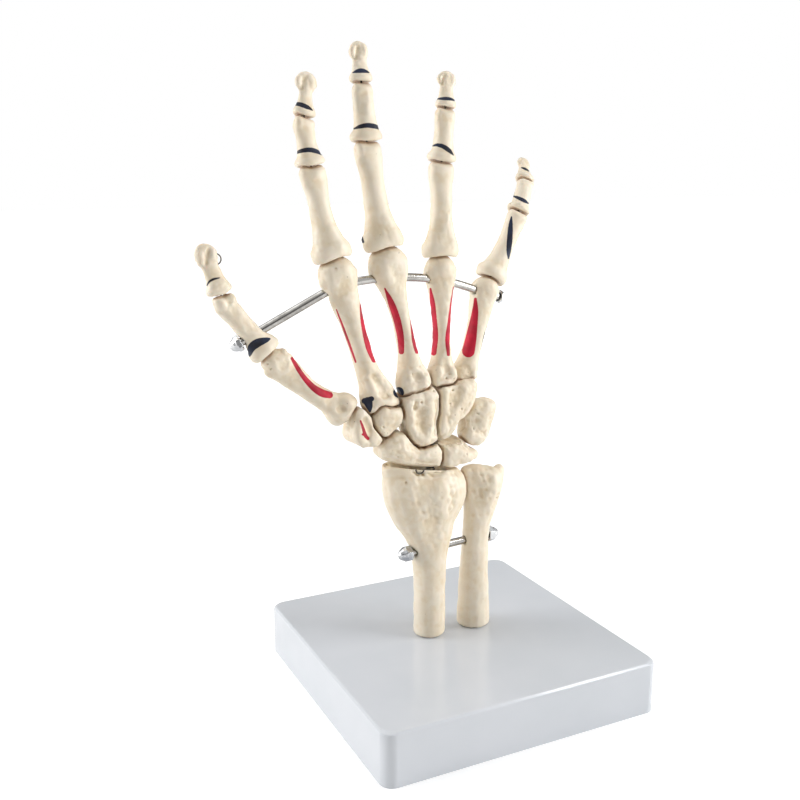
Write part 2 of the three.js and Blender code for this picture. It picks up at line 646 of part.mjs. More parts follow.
function baseShell() {
  const innerWidth = BASE_WIDTH - 2 * BASE_WALL;
  const ceiling = BASE_HEIGHT - BASE_WALL;
  const bossFoot = COVER_THICKNESS + SEAT_GAP;
  const screwTop = SEAT_GAP + COVER_SCREW.length;
  let shell = toSolid(baseBlock());
  shell = shell.subtract(toSolid(slab(innerWidth, BASE_CORNER - BASE_WALL, -CUT_PAST, ceiling)));
  for (const [x, y] of Object.values(coverCorners)) {
    shell = shell.add(post(x, y, bossFoot, ceiling + BASE_WALL / 2, BOSS_RADIUS));
    shell = shell.subtract(post(x, y, -CUT_PAST, screwTop + SEAT_GAP, COVER_SCREW.shank + SEAT_GAP, 8));
  }
  for (const [x, y] of boneFeet) {
    const hole = post(x, y, ceiling - CUT_PAST, BASE_HEIGHT + CUT_PAST, BONE_SCREW.shank + SEAT_GAP, 8);
    shell = shell.subtract(hole);
  }
  return shell;
}

function baseCover() {
  const width = BASE_WIDTH - 2 * BASE_WALL - 2 * SEAT_GAP;
  const recess = COVER_SCREW.headHeight + 2 * SEAT_GAP;
  let cover = toSolid(slab(width, BASE_CORNER - BASE_WALL, 0, COVER_THICKNESS));
  for (const [x, y] of Object.values(coverCorners)) {
    cover = cover.subtract(post(x, y, -CUT_PAST, COVER_THICKNESS + CUT_PAST, COVER_SCREW.shank + SEAT_GAP, 8));
    cover = cover.subtract(post(x, y, -CUT_PAST, recess, COVER_SCREW.head + SEAT_GAP, 12));
  }
  return cover;
}

// A pan-head screw that points up from its head's underside
function screw(x, y, low, size) {
  const head = post(x, y, low, low + size.headHeight, size.head, 12);
  return head.add(post(x, y, low, low + size.length, size.shank, 8));
}

// Forearm

function shaftFrom(rows, footX, sides, grow = 0, squareness = 1) {
  const placedRows = rows.map((row) => [row[0], row[1] + grow, row[2] + grow, row[3] + grow, row[4] + footX]);
  const rings = placedRows.map((row) => boneRing(row, sides, squareness));
  for (const point of rings.flat()) point.y += FOREARM_Y;
  for (const point of rings[0]) point.z += SEAT_GAP - grow;
  const top = placedRows.at(-1);
  const crown = top[0] + 0.25 * top[1] + grow;
  const foot = new THREE.Vector3(footX, FOREARM_Y, SEAT_GAP - grow);
  return ringSurface(rings, foot, new THREE.Vector3(top[4], FOREARM_Y, crown));
}

function spheroid(size, segments) {
  const geometry = new THREE.SphereGeometry(1, segments, segments / 2);
  geometry.scale(size.across, size.round, size.round);
  geometry.rotateY(radians(WRIST_TILT));
  return toSolid(geometry.translate(...WRIST_CENTRE));
}

function ulnaSolid(grow) {
  const knob = new THREE.SphereGeometry(1, 10, 8);
  const { right, palm, below, wide, deep, tall, lean } = ULNA_STYLOID;
  knob.scale(wide + grow, deep + grow, tall + grow).rotateY(radians(lean));
  knob.translate(ULNA_FOOT_X + right, FOREARM_Y + palm, ULNA_ROWS.at(-1)[0] - below);
  return toSolid(shaftFrom(ULNA_ROWS, ULNA_FOOT_X, 14, grow)).add(toSolid(knob));
}

// Where a nut of the forearm rod bears on the outer side of a bone
function nutSeat(rows, footX, side, { height, y }) {
  const reach = FOREARM_NUT.across / 2;
  const sides = [height - reach, height, height + reach].map((level) => {
    const [, wide, , , across] = readRow(rows, level);
    return wide + side * across;
  });
  return new THREE.Vector3(footX + side * (Math.max(...sides) + SEAT_GAP), y, height);
}

const forearmSeats = [
  nutSeat(RADIUS_ROWS, RADIUS_FOOT_X, -1, FOREARM_ROD_LEFT),
  nutSeat(ULNA_ROWS, ULNA_FOOT_X, 1, FOREARM_ROD_RIGHT),
];
const forearmLine = forearmSeats[1].clone().sub(forearmSeats[0]).normalize();
const forearmEnds = [-1, 1].map((side, i) => {
  return forearmSeats[i].clone().addScaledVector(forearmLine, side * FOREARM_NUT.hex);
});
const forearmRodHole = toSolid(bar(
  forearmEnds[0].clone().addScaledVector(forearmLine, -CUT_PAST),
  forearmEnds[1].clone().addScaledVector(forearmLine, CUT_PAST),
  FOREARM_ROD + SEAT_GAP, 12,
));
const springHole = post(SPRING.x, SPRING.y, SPRING.foot - SEAT_GAP, SPRING.top + SEAT_GAP, SPRING_BORE, 12);
const boneScrewFoot = BASE_HEIGHT - BASE_WALL - BONE_SCREW.headHeight - SEAT_GAP;
const boneScrewHoles = boneFeet.map(([x, y]) => {
  const top = boneScrewFoot + BONE_SCREW.length + SEAT_GAP - BASE_HEIGHT;
  return post(x, y, -CUT_PAST, top, BONE_SCREW.shank + SEAT_GAP, 8);
});

function wristHook(grow) {
  return wireArc(WRIST_HOOK, grow).translate(...WRIST_HOOK.centre);
}

function radiusSolid() {
  const whole = toSolid(shaftFrom(RADIUS_ROWS, RADIUS_FOOT_X, 18, 0, 0.95));
  const hookHole = toSolid(wristHook(SEAT_GAP));
  const holes = [ulnaSolid(BONE_GAP), forearmRodHole, springHole, boneScrewHoles[0], hookHole];
  return cutBy(whole, spheroid(WRIST_SOCKET, 28), ...holes);
}

// Hand: where each bone lies, and how far its head is turned to face the next bone

function chain(ray) {
  const names = ['metacarpal', 'proximal', 'middle', 'distal'].filter((name) => ray[name]);
  const bones = {};
  let point = new THREE.Vector3(...ray.foot);
  let foot = 0;
  for (const name of names) {
    const { length, headRadius, lean, bend } = ray[name];
    const matrix = placed(point, lean, bend, ray.metacarpal.turn);
    bones[name] = { size: ray[name], matrix, foot, aim: STRAIGHT };
    if (!headRadius) break;
    point = upAlong(matrix, foot + length - headRadius);
    foot = headRadius + JOINT_GAP;
  }
  names.slice(1).forEach((name, i) => {
    const across = new THREE.Vector3().setFromMatrixColumn(bones[name].matrix, 0);
    across.transformDirection(bones[names[i]].matrix.clone().invert());
    bones[names[i]].aim = new THREE.Quaternion().setFromUnitVectors(new THREE.Vector3(1, 0, 0), across);
  });
  return bones;
}

const rays = Object.fromEntries(Object.entries({ thumb: THUMB, ...RAYS }).map(([name, ray]) => {
  return [name, chain(ray)];
}));

// A bone of the hand in its place, without its holes; a metacarpal can be grown on all sides
function wholeBone(name, part, grow = 0) {
  const bones = rays[name];
  const { size, matrix, foot, aim } = bones[part];
  if (part === 'metacarpal') return toSolid(metacarpal(size, grow, aim).applyMatrix4(matrix));
  const parts = Object.keys(bones);
  const below = parts[parts.indexOf(part) - 1];
  const cup = below === 'metacarpal'
    ? hollow(foot, PALM_HUG, 0, size.baseWide / 2)
    : hollow(foot, FINGER_HUG, IP_GROOVE, 0.5 * Math.max(size.baseWide, bones[below].size.headWide));
  const shape = part === parts.at(-1) ? endPhalanx(size, cup) : phalanx(size, cup, aim);
  return toSolid(shape.translate(0, 0, foot).applyMatrix4(matrix));
}

// How far a solid reaches from a point inside it, under the round foot of a nut
function reachOf(solid, from, direction, radius) {
  const far = from.clone().addScaledVector(direction, 10 * radius);
  const points = toGeometry(solid.intersect(toSolid(bar(from, far, radius, 12)))).attributes.position;
  const point = new THREE.Vector3();
  let reach = 0;
  for (let i = 0; i < points.count; i++) {
    reach = Math.max(reach, point.fromBufferAttribute(points, i).sub(from).dot(direction));
  }
  return reach;
}

// Knuckle rod: through the thumb, then through each metacarpal's neck
function knuckleRodPath() {
  const necks = Object.entries(KNUCKLE_ROD_BELOW).map(([name, below]) => {
    const { matrix, size } = rays[name].metacarpal;
    return upAlong(matrix, size.length - below);
  });
  const [index, middle, ring, little] = necks;
  const thumbBone = rays.thumb.proximal;
  const thumb = upAlong(thumbBone.matrix, thumbBone.foot + KNUCKLE_ROD_UP_THUMB);
  const outwards = thumb.clone().sub(index).normalize();
  const beyond = little.clone().sub(ring).normalize();
  const thumbSide = reachOf(wholeBone('thumb', 'proximal'), thumb, outwards, KNUCKLE_NUT.across / 2);
  const start = thumb.clone().addScaledVector(outwards, thumbSide + SEAT_GAP + KNUCKLE_NUT.hex);
  const end = little.clone().addScaledVector(beyond, KNUCKLE_ROD_PAST_LITTLE);
  const corner = index.clone().lerp(thumb, KNUCKLE_ROD_BEND);
  const straight = index.clone().lerp(middle, KNUCKLE_ROD_BEND);
  const path = new THREE.CurvePath();
  path.add(new THREE.LineCurve3(start, corner));
  path.add(new THREE.QuadraticBezierCurve3(corner, index, straight));
  path.add(new THREE.CatmullRomCurve3([straight, middle, ring, little, end]));
  return { path, start, end, outwards, beyond };
}

const knuckleRod = knuckleRodPath();
const knuckleRodHole = toSolid(tube(knuckleRod.path, KNUCKLE_ROD + SEAT_GAP, 8, KNUCKLE_ROD_STEPS));

// A domed nut, open at its foot for the rod; it points along a direction from its seat
function domedNut(size, bore, point, direction) {
  const { across, hex, dome, chamfer } = size;
  const corner = across / Math.sqrt(3);
  const tall = hex + dome;
  const profile = [
    [0, 0], [corner - chamfer, 0], [corner, chamfer], [corner, hex - chamfer], [across / 2, hex],
    [0.42 * across, hex + 0.35 * dome], [0.28 * across, hex + 0.78 * dome], [0, tall],
  ];
  const turned = new THREE.LatheGeometry(profile.map(([r, z]) => new THREE.Vector2(r, z)), 12);
  turned.rotateX(Math.PI / 2);
  const depth = tall + 2 * CUT_PAST;
  const prism = new THREE.ExtrudeGeometry(circle(corner, 6), { depth, bevelEnabled: false });
  prism.translate(0, 0, -CUT_PAST);
  const nut = toSolid(turned).intersect(toSolid(prism));
  const hole = post(0, 0, -CUT_PAST, hex + SEAT_GAP, bore);
  return toSolid(aimed(toGeometry(nut.subtract(hole)), point, direction));
}

// A wrist bone: its outline drawn in, its corners rounded, and swollen to its depth
function insetOutline(points, inset) {
  const side = -Math.sign(THREE.ShapeUtils.area(points));
  return points.map((point, i) => {
    const before = points[(i + points.length - 1) % points.length];
    const after = points[(i + 1) % points.length];
    const [a, b] = [point.clone().sub(before).normalize(), after.clone().sub(point).normalize()];
    const normal = new THREE.Vector2(a.y + b.y, -a.x - b.x).normalize();
    const reach = inset / Math.max(0.5, normal.dot(new THREE.Vector2(a.y, -a.x)));
    return point.clone().addScaledVector(normal, side * reach);
  });
}

function roundedOutline(points, rounding, count) {
  const path = new THREE.Path();
  const middle = (a, b, t) => a.clone().lerp(b, t);
  points.forEach((point, i) => {
    const before = points[(i + points.length - 1) % points.length];
    const after = points[(i + 1) % points.length];
    const [enter, leave] = [middle(point, before, rounding), middle(point, after, rounding)];
    if (i === 0) path.moveTo(enter.x, enter.y);
    else path.lineTo(enter.x, enter.y);
    path.quadraticCurveTo(point.x, point.y, leave.x, leave.y);
  });
  path.closePath();
  return path.getSpacedPoints(count).slice(0, count);
}

const SWELL = [-0.96, -0.82, -0.5, 0, 0.5, 0.82, 0.96];
const SWELL_POWER = 5;

function carpal(bone, grow = 0) {
  const corners = insetOutline(bone.outline.map(([x, z]) => new THREE.Vector2(x, z)), BONE_GAP / 2 - grow);
  const outline = roundedOutline(corners, CARPAL_ROUNDING, CARPAL_SIDES);
  const centre = outline.reduce((sum, p) => sum.add(p), new THREE.Vector2()).divideScalar(outline.length);
  const rings = SWELL.map((t) => {
    const scale = (1 - Math.abs(t) ** SWELL_POWER) ** (1 / SWELL_POWER);
    return outline.map((p) => {
      const flat = p.clone().sub(centre).multiplyScalar(scale).add(centre);
      return new THREE.Vector3(flat.x, bone.middle + t * (bone.depth + grow), flat.y);
    });
  });
  const [front, back] = [-1, 1].map((t) => {
    return new THREE.Vector3(centre.x, bone.middle + t * (bone.depth + grow), centre.y);
  });
  return toSolid(ringSurface(rings, front, back));
}

// Wrist spring: an even helix whose ends run straight down and up for one wire's thickness
function springPath() {
  const { x, y, foot, top, coilRadius, wire, curls } = SPRING;
  const steps = curls * 8;
  const low = foot + 2 * wire;
  const high = top - 2 * wire;
  const points = [];
  for (let i = 0; i <= steps; i++) {
    const angle = 2 * Math.PI * i / 8;
    const z = low + (high - low) * i / steps;
    points.push(new THREE.Vector3(x + coilRadius * Math.cos(angle), y + coilRadius * Math.sin(angle), z));
  }
  return points;
}

// The least distance between two curls' surfaces, measured on points of the wire's middle
function leastCurlGap(points, wire) {
  let least = Infinity;
  for (let i = 0; i < points.length; i++) {
    for (let j = i + 5; j < points.length; j++) {
      least = Math.min(least, points[i].distanceTo(points[j]));
    }
  }
  return least - wire;
}

function wristSpring() {
  const points = springPath();
  const radius = SPRING.wire / 2;
  const first = points[0].clone();
  const last = points.at(-1).clone();
  points.unshift(first.clone().setZ(SPRING.foot), first.clone().setZ(SPRING.foot + SPRING.wire));
  points.push(last.clone().setZ(SPRING.top - SPRING.wire), last.clone().setZ(SPRING.top));
  const rings = points.map((point, i) => {
    const ahead = points[Math.min(i + 1, points.length - 1)].clone();
    const along = ahead.sub(points[Math.max(i - 1, 0)]).normalize();
    if (i < 2 || i > points.length - 3) along.set(0, 0, 1);
    const out = new THREE.Vector3(point.x - SPRING.x, point.y - SPRING.y, 0);
    out.addScaledVector(along, -out.dot(along)).normalize();
    const side = along.clone().cross(out);
    return Array.from({ length: 5 }, (_, k) => {
      const angle = 2 * Math.PI * k / 5;
      const [outwards, sideways] = [radius * Math.cos(angle), radius * Math.sin(angle)];
      return point.clone().addScaledVector(out, outwards).addScaledVector(side, sideways);
    });
  });
  const measured = leastCurlGap(points.slice(2, -2), SPRING.wire);
  console.log(`wrist spring: least gap between curls ${measured.toFixed(2)} mm`);
  return ringSurface(rings, points[0], points.at(-1));
}

// Everything on the stand
add('base_shell', baseShell(), materials.base, model, model);
add('base_cover', baseCover(), materials.cover, model, model);
for (const [corner, [x, y]] of Object.entries(coverCorners)) {
  add(`cover_screw_${corner}`, screw(x, y, SEAT_GAP, COVER_SCREW), materials.steel, model, model);
}
boneFeet.forEach(([x, y], i) => {
  const name = ['radius_screw', 'ulna_screw'][i];
  add(name, screw(x, y, boneScrewFoot, BONE_SCREW), materials.steel, model, model);
});
add('radius', radiusSolid(), materials.bone);
add('ulna', cutBy(ulnaSolid(0), forearmRodHole, boneScrewHoles[1]), materials.bone);
add('forearm_rod', bar(...forearmEnds, FOREARM_ROD, 12), materials.steel);
[-1, 1].forEach((side, i) => {
  const direction = forearmLine.clone().multiplyScalar(side);
  const nut = domedNut(FOREARM_NUT, FOREARM_ROD + SEAT_GAP, forearmSeats[i], direction);
  add(['forearm_nut_left', 'forearm_nut_right'][i], nut, materials.nut);
});
add('wrist_spring', wristSpring(), materials.steel);
add('wrist_hook', wristHook(0), materials.steel);

// Hand: palm bones are cut by a larger neighbour, wrist bones by the palm bones and the spring's way
const hand = new THREE.Group();
hand.name = 'hand';
skeleton.add(hand);
const grownPalm = Object.fromEntries(Object.keys(rays).map((name) => {
  return [name, wholeBone(name, 'metacarpal', BONE_GAP)];
}));
const wristBall = spheroid(WRIST_BALL, 28);
const notchProfile = [
  [0, SPRING_NOTCH.low], [SPRING_NOTCH.foot, SPRING_NOTCH.low],
  [SPRING_BORE, SPRING_NOTCH.high], [0, SPRING_NOTCH.high],
];
const notchTurned = new THREE.LatheGeometry(notchProfile.map(([r, z]) => new THREE.Vector2(r, z)), 12);
notchTurned.rotateX(Math.PI / 2).scale(1, SPRING_NOTCH.deeper, 1).translate(SPRING.x, SPRING.y, 0);
const notch = toSolid(notchTurned);
for (const [name, bone] of Object.entries(CARPALS)) {
  const palm = { ...grownPalm };
  if (name === 'trapezoid') delete palm.index;
  let solid = cutBy(carpal(bone), ...Object.values(palm));
  if (name === 'scaphoid' || name === 'lunate') solid = cutBy(solid.intersect(wristBall), notch);
  if (name === 'capitate' || name === 'hamate') solid = cutBy(solid, springHole);
  add(name, solid, materials.bone, hand);
}

// A wire that joins two bones: it stands in the upper one's foot and in the lower one's head
function jointWire({ matrix, foot }, grow) {
  const low = upAlong(matrix, JOINT_WIRE.start - grow);
  const high = upAlong(matrix, foot + JOINT_WIRE.intoBase + grow);
  return bar(low, high, JOINT_WIRE.radius + grow, 6);
}

// The wire loop beside the thumb's tip; its ends stand in the bone
function thumbLoop(matrix, grow) {
  const loop = wireArc(THUMB_LOOP, grow).translate(THUMB_LOOP.side, 0, THUMB_LOOP.up);
  return loop.applyMatrix4(matrix);
}

const { trapezoid } = CARPALS;
const baseNotch = carpal({ ...trapezoid, depth: trapezoid.depth + NOTCH_PAST }, BONE_GAP);
const neighbour = { thumb: 'index', index: 'middle', ring: 'middle', little: 'ring' };
for (const [name, bones] of Object.entries(rays)) {
  const parts = Object.keys(bones);
  let group = hand;
  parts.forEach((part, i) => {
    const bone = bones[part];
    const next = bones[parts[i + 1]];
    const turns = part !== 'metacarpal' && !(name === 'thumb' && part === 'proximal');
    const nextTurns = next && !(name === 'thumb' && part === 'metacarpal');
    let solid = wholeBone(name, part);
    if (part === 'metacarpal' && neighbour[name]) solid = solid.subtract(grownPalm[neighbour[name]]);
    if (part === 'metacarpal' && name === 'index') solid = solid.subtract(baseNotch);
    const onRod = part === 'metacarpal' ? name !== 'thumb' : name === 'thumb' && part === 'proximal';
    if (onRod) solid = solid.subtract(knuckleRodHole);
    if (nextTurns) solid = solid.subtract(toSolid(jointWire(next, SEAT_GAP)));
    if (turns) {
      solid = solid.subtract(toSolid(jointWire(bone, SEAT_GAP)));
      group = hinge(`hinge_${name}_${part}`, bone.matrix, group);
      add(`${name}_${part}_wire`, jointWire(bone, 0), materials.steel, group);
    }
    if (name === 'thumb' && part === 'distal') {
      solid = solid.subtract(toSolid(thumbLoop(bone.matrix, SEAT_GAP)));
      add('thumb_wire_loop', thumbLoop(bone.matrix, 0), materials.steel, group);
    }
    add(`${name}_${part}`, solid, materials.bone, group);
  });
}

// Knuckle rod and its nuts
add('knuckle_rod', tube(knuckleRod.path, KNUCKLE_ROD, 8, KNUCKLE_ROD_STEPS), materials.steel, hand);
const rodNuts = {
  knuckle_nut_thumb: [KNUCKLE_NUT, knuckleRod.start, knuckleRod.outwards],
  knuckle_nut_little: [KNUCKLE_END_NUT, knuckleRod.end, knuckleRod.beyond],
};
for (const [name, [size, end, direction]] of Object.entries(rodNuts)) {
  const seat = end.clone().addScaledVector(direction, -size.hex);
  add(name, domedNut(size, KNUCKLE_ROD + SEAT_GAP, seat, direction), materials.nut, hand);
}

export default model;
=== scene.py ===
import json
import math

import bpy
import numpy as np
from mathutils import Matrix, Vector
from mathutils.kdtree import KDTree


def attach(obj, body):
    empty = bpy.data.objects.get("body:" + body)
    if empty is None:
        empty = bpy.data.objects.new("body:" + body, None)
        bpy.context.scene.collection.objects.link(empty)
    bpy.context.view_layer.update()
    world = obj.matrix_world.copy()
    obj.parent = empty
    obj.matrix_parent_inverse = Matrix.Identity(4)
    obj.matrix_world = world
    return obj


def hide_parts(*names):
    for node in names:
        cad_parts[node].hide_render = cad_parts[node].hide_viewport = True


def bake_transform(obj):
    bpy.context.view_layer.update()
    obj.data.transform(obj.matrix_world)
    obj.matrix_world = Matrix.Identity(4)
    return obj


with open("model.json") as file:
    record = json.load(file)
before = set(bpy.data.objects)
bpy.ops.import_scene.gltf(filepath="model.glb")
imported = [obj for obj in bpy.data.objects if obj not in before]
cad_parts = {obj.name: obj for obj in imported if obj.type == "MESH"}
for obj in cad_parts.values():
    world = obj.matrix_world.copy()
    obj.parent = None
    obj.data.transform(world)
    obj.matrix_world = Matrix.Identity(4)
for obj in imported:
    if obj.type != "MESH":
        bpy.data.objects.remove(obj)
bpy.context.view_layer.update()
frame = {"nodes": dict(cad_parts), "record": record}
scene = bpy.context.scene
MM = 0.001


# Small tools

def select_only(*objects):
    for other in bpy.context.selected_objects:
        other.select_set(False)
    for obj in objects:
        obj.select_set(True)
    bpy.context.view_layer.objects.active = objects[0]


def in_edit_mode(piece, *steps):
    """Runs edit-mode steps on the whole of one piece."""
    select_only(piece)
    bpy.ops.object.mode_set(mode="EDIT")
    bpy.ops.mesh.select_all(action="SELECT")
    for step in steps:
        step()
    bpy.ops.object.mode_set(mode="OBJECT")


def merge_doubles():
    bpy.ops.mesh.remove_doubles(threshold=0.00001)


def apply_modifier(piece, kind, **settings):
    select_only(piece)
    modifier = piece.modifiers.new(kind.lower(), kind)
    for name, value in settings.items():
        setattr(modifier, name, value)
    bpy.ops.object.modifier_apply(modifier=modifier.name)


def copied_node(node, name):
    """A piece that starts as a merged copy of a CAD node."""
    piece = bpy.data.objects.new(name, frame["nodes"][node].data.copy())
    scene.collection.objects.link(piece)
    piece.data.materials.clear()
    in_edit_mode(piece, merge_doubles)
    return piece


def finish_piece(piece, material, body, slot, *nodes, smooth_angle=None):
    piece.data.materials.clear()
    piece.data.materials.append(material)
    select_only(piece)
    if smooth_angle is None:
        bpy.ops.object.shade_smooth()
    else:
        bpy.ops.object.shade_smooth_by_angle(angle=math.radians(smooth_angle))
    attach(piece, body)
    if nodes:
        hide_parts(*nodes)
    return piece


def vertex_table(mesh, what="vertices", name="co"):
    values = np.zeros(len(mesh.vertices) * 3, np.float32)
    getattr(mesh, what).foreach_get(name, values)
    return values.reshape(-1, 3).astype(float)


def write_vertices(mesh, points):
    mesh.vertices.foreach_set("co", points.astype(np.float32).ravel())
    mesh.update()


def set_attribute(mesh, name, values):
    layer = mesh.attributes.get(name) or mesh.attributes.new(name, "FLOAT", "POINT")
    layer.data.foreach_set("value", values.astype(np.float32))


# Camera

CAMERA_PLACE = (-0.22005, -0.39141, 0.24655)
CAMERA_TURN = (76.8053, 0.1784, -26.1244)    # degrees
SENSOR_WIDTH = 36
PICTURE = 800         # pixels across the photograph
FOCAL = 989.47        # the camera's focal length in those pixels
camera = bpy.data.objects.new("photo_camera", bpy.data.cameras.new("photo_camera"))
scene.collection.objects.link(camera)
camera.location = CAMERA_PLACE
camera.rotation_euler = [math.radians(angle) for angle in CAMERA_TURN]
camera.data.sensor_width = SENSOR_WIDTH
camera.data.lens = camera.data.sensor_width * FOCAL / PICTURE
camera.data.clip_start = 0.01
scene.camera = camera


def in_picture(points):
    """Where points appear in the photograph, in its pixels."""
    turn = np.array(camera.rotation_euler.to_matrix())
    local = (points - np.array(camera.location)) @ turn
    return PICTURE / 2 + FOCAL * local[:, :2] * (1, -1) / -local[:, 2:]


def towards_camera(mesh):
    """How far each point's surface faces the camera, 1 when it faces it squarely."""
    rays = np.array(camera.location) - vertex_table(mesh)
    rays /= np.linalg.norm(rays, axis=1)[:, None]
    return (rays * vertex_table(mesh, "vertex_normals", "vector")).sum(1)


# Materials

def srgb(red, green, blue):
    """Colour as seen on screen, 0 to 255, in the renderer's own numbers."""
    def linear(value):
        share = value / 255
        return share / 12.92 if share <= 0.04045 else ((share + 0.055) / 1.055) ** 2.4
    return (linear(red), linear(green), linear(blue), 1)


def put(tree, kind, inputs=None, **settings):
    """Adds a shader node; an input is a value or another node's output."""
    made = tree.nodes.new(kind)
    for name, value in settings.items():
        setattr(made, name, value)
    for key, value in (inputs or {}).items():
        if isinstance(value, bpy.types.NodeSocket):
            tree.links.new(value, made.inputs[key])
        else:
            made.inputs[key].default_value = value
    return made


def math_node(tree, operation, first, second=0.5, clamp=False):
    return put(tree, "ShaderNodeMath", {0: first, 1: second}, operation=operation, use_clamp=clamp).outputs[0]


def mix_colours(tree, share, first, second, blend="MIX"):
    made = put(tree, "ShaderNodeMix", {0: share, 6: first, 7: second}, data_type="RGBA", blend_type=blend)
    return made.outputs[2]


def ramp(tree, value, low, high, first=0.0, second=1.0):
    """Smoothly goes from the first to the second number as value goes from low to high."""
    made = put(
        tree, "ShaderNodeMapRange", {0: value, 1: low, 2: high, 3: first, 4: second},
        interpolation_type="SMOOTHSTEP",
    )
    return made.outputs[0]


def object_place(tree):
    return put(tree, "ShaderNodeTexCoord").outputs["Object"]


def new_group(name, inputs, outputs):
    group = bpy.data.node_groups.new(name, "ShaderNodeTree")
    for socket, kind, value in inputs:
        made = group.interface.new_socket(socket, in_out="INPUT", socket_type=kind)
        if value is not None:
            made.default_value = value
    for socket, kind in outputs:
        group.interface.new_socket(socket, in_out="OUTPUT", socket_type=kind)
    return group, group.nodes.new("NodeGroupInput"), group.nodes.new("NodeGroupOutput")


def mottle_group():
    """Uneven tone of cast plastic in broad clouds and fine grain, and rare specks where the bone material
    presses pits and paints shade into them.
    """
    group, given, result = new_group(
        "cast_mottle",
        [("Cloud Scale", "NodeSocketFloat", 90.0), ("Grain Scale", "NodeSocketFloat", 900.0)],
        [("Clouds", "NodeSocketFloat"), ("Grain", "NodeSocketFloat"), ("Specks", "NodeSocketFloat")],
    )
    place = object_place(group)
    clouds = put(group, "ShaderNodeTexNoise", {
        "Vector": place, "Scale": given.outputs["Cloud Scale"], "Detail": 3.0, "Roughness": 0.55,
    }).outputs[0]
    grain = put(group, "ShaderNodeTexNoise", {
        "Vector": place, "Scale": given.outputs["Grain Scale"], "Detail": 4.0, "Roughness": 0.6,
    }).outputs[0]
    cells = put(group, "ShaderNodeTexVoronoi", {
        "Vector": place, "Scale": math_node(group, "MULTIPLY", given.outputs["Grain Scale"], 0.42),
    }).outputs["Distance"]
    chance = put(group, "ShaderNodeTexNoise", {"Vector": place, "Scale": 260.0, "Detail": 1.0}).outputs[0]
    specks = math_node(group, "MULTIPLY", ramp(group, cells, 0.2, 0.08), ramp(group, chance, 0.6, 0.72))
    group.links.new(clouds, result.inputs["Clouds"])
    group.links.new(grain, result.inputs["Grain"])
    group.links.new(specks, result.inputs["Specks"])
    return group


def brushed_group():
    """Fine drawn streaks and faint handling smears of a metal part."""
    group, given, result = new_group(
        "drawn_metal",
        [("Scale", "NodeSocketFloat", 1800.0), ("Smear Scale", "NodeSocketFloat", 160.0)],
        [("Streaks", "NodeSocketFloat"), ("Smears", "NodeSocketFloat")],
    )
    place = object_place(group)
    streaks = put(group, "ShaderNodeTexNoise", {
        "Vector": place, "Scale": given.outputs["Scale"], "Detail": 3.0, "Roughness": 0.7,
    }).outputs[0]
    smears = put(group, "ShaderNodeTexNoise", {
        "Vector": place, "Scale": given.outputs["Smear Scale"], "Detail": 4.0, "Roughness": 0.6,
    }).outputs[0]
    group.links.new(streaks, result.inputs["Streaks"])
    group.links.new(smears, result.inputs["Smears"])
    return group


MOTTLE = mottle_group()
DRAWN = brushed_group()


def new_material(name, **shader):
    material = bpy.data.materials.new(name)
    material.use_nodes = True
    tree = material.node_tree
    bsdf = tree.nodes["Principled BSDF"]
    for socket, value in shader.items():
        bsdf.inputs[socket.replace("_", " ")].default_value = value
    return material, tree, bsdf


def attribute(tree, name):
    return put(tree, "ShaderNodeAttribute", attribute_name=name, attribute_type="GEOMETRY").outputs["Fac"]


# Cream tones of the plastic, the last of them a painted highlight for ridges; on the next line, painted shade
# for hollows, for the seams between bones and for pits
CREAM, WARM_CREAM, PAINTED_RIDGE_HIGHLIGHT = srgb(234, 221, 198), srgb(226, 209, 180), srgb(240, 232, 217)
PAINTED_HOLLOW_SHADE, PAINTED_SEAM_SHADE, PAINTED_PIT_SHADE = srgb(196, 170, 128), srgb(168, 122, 74), srgb(120, 98, 72)
PAINTS = {
    "red_paint": (srgb(206, 16, 60), srgb(158, 6, 42)),
    "blue_paint": (srgb(18, 38, 68), srgb(7, 12, 27)),
}
PAINT_EDGE = 0.09     # half the width of a painted edge, in millimetres


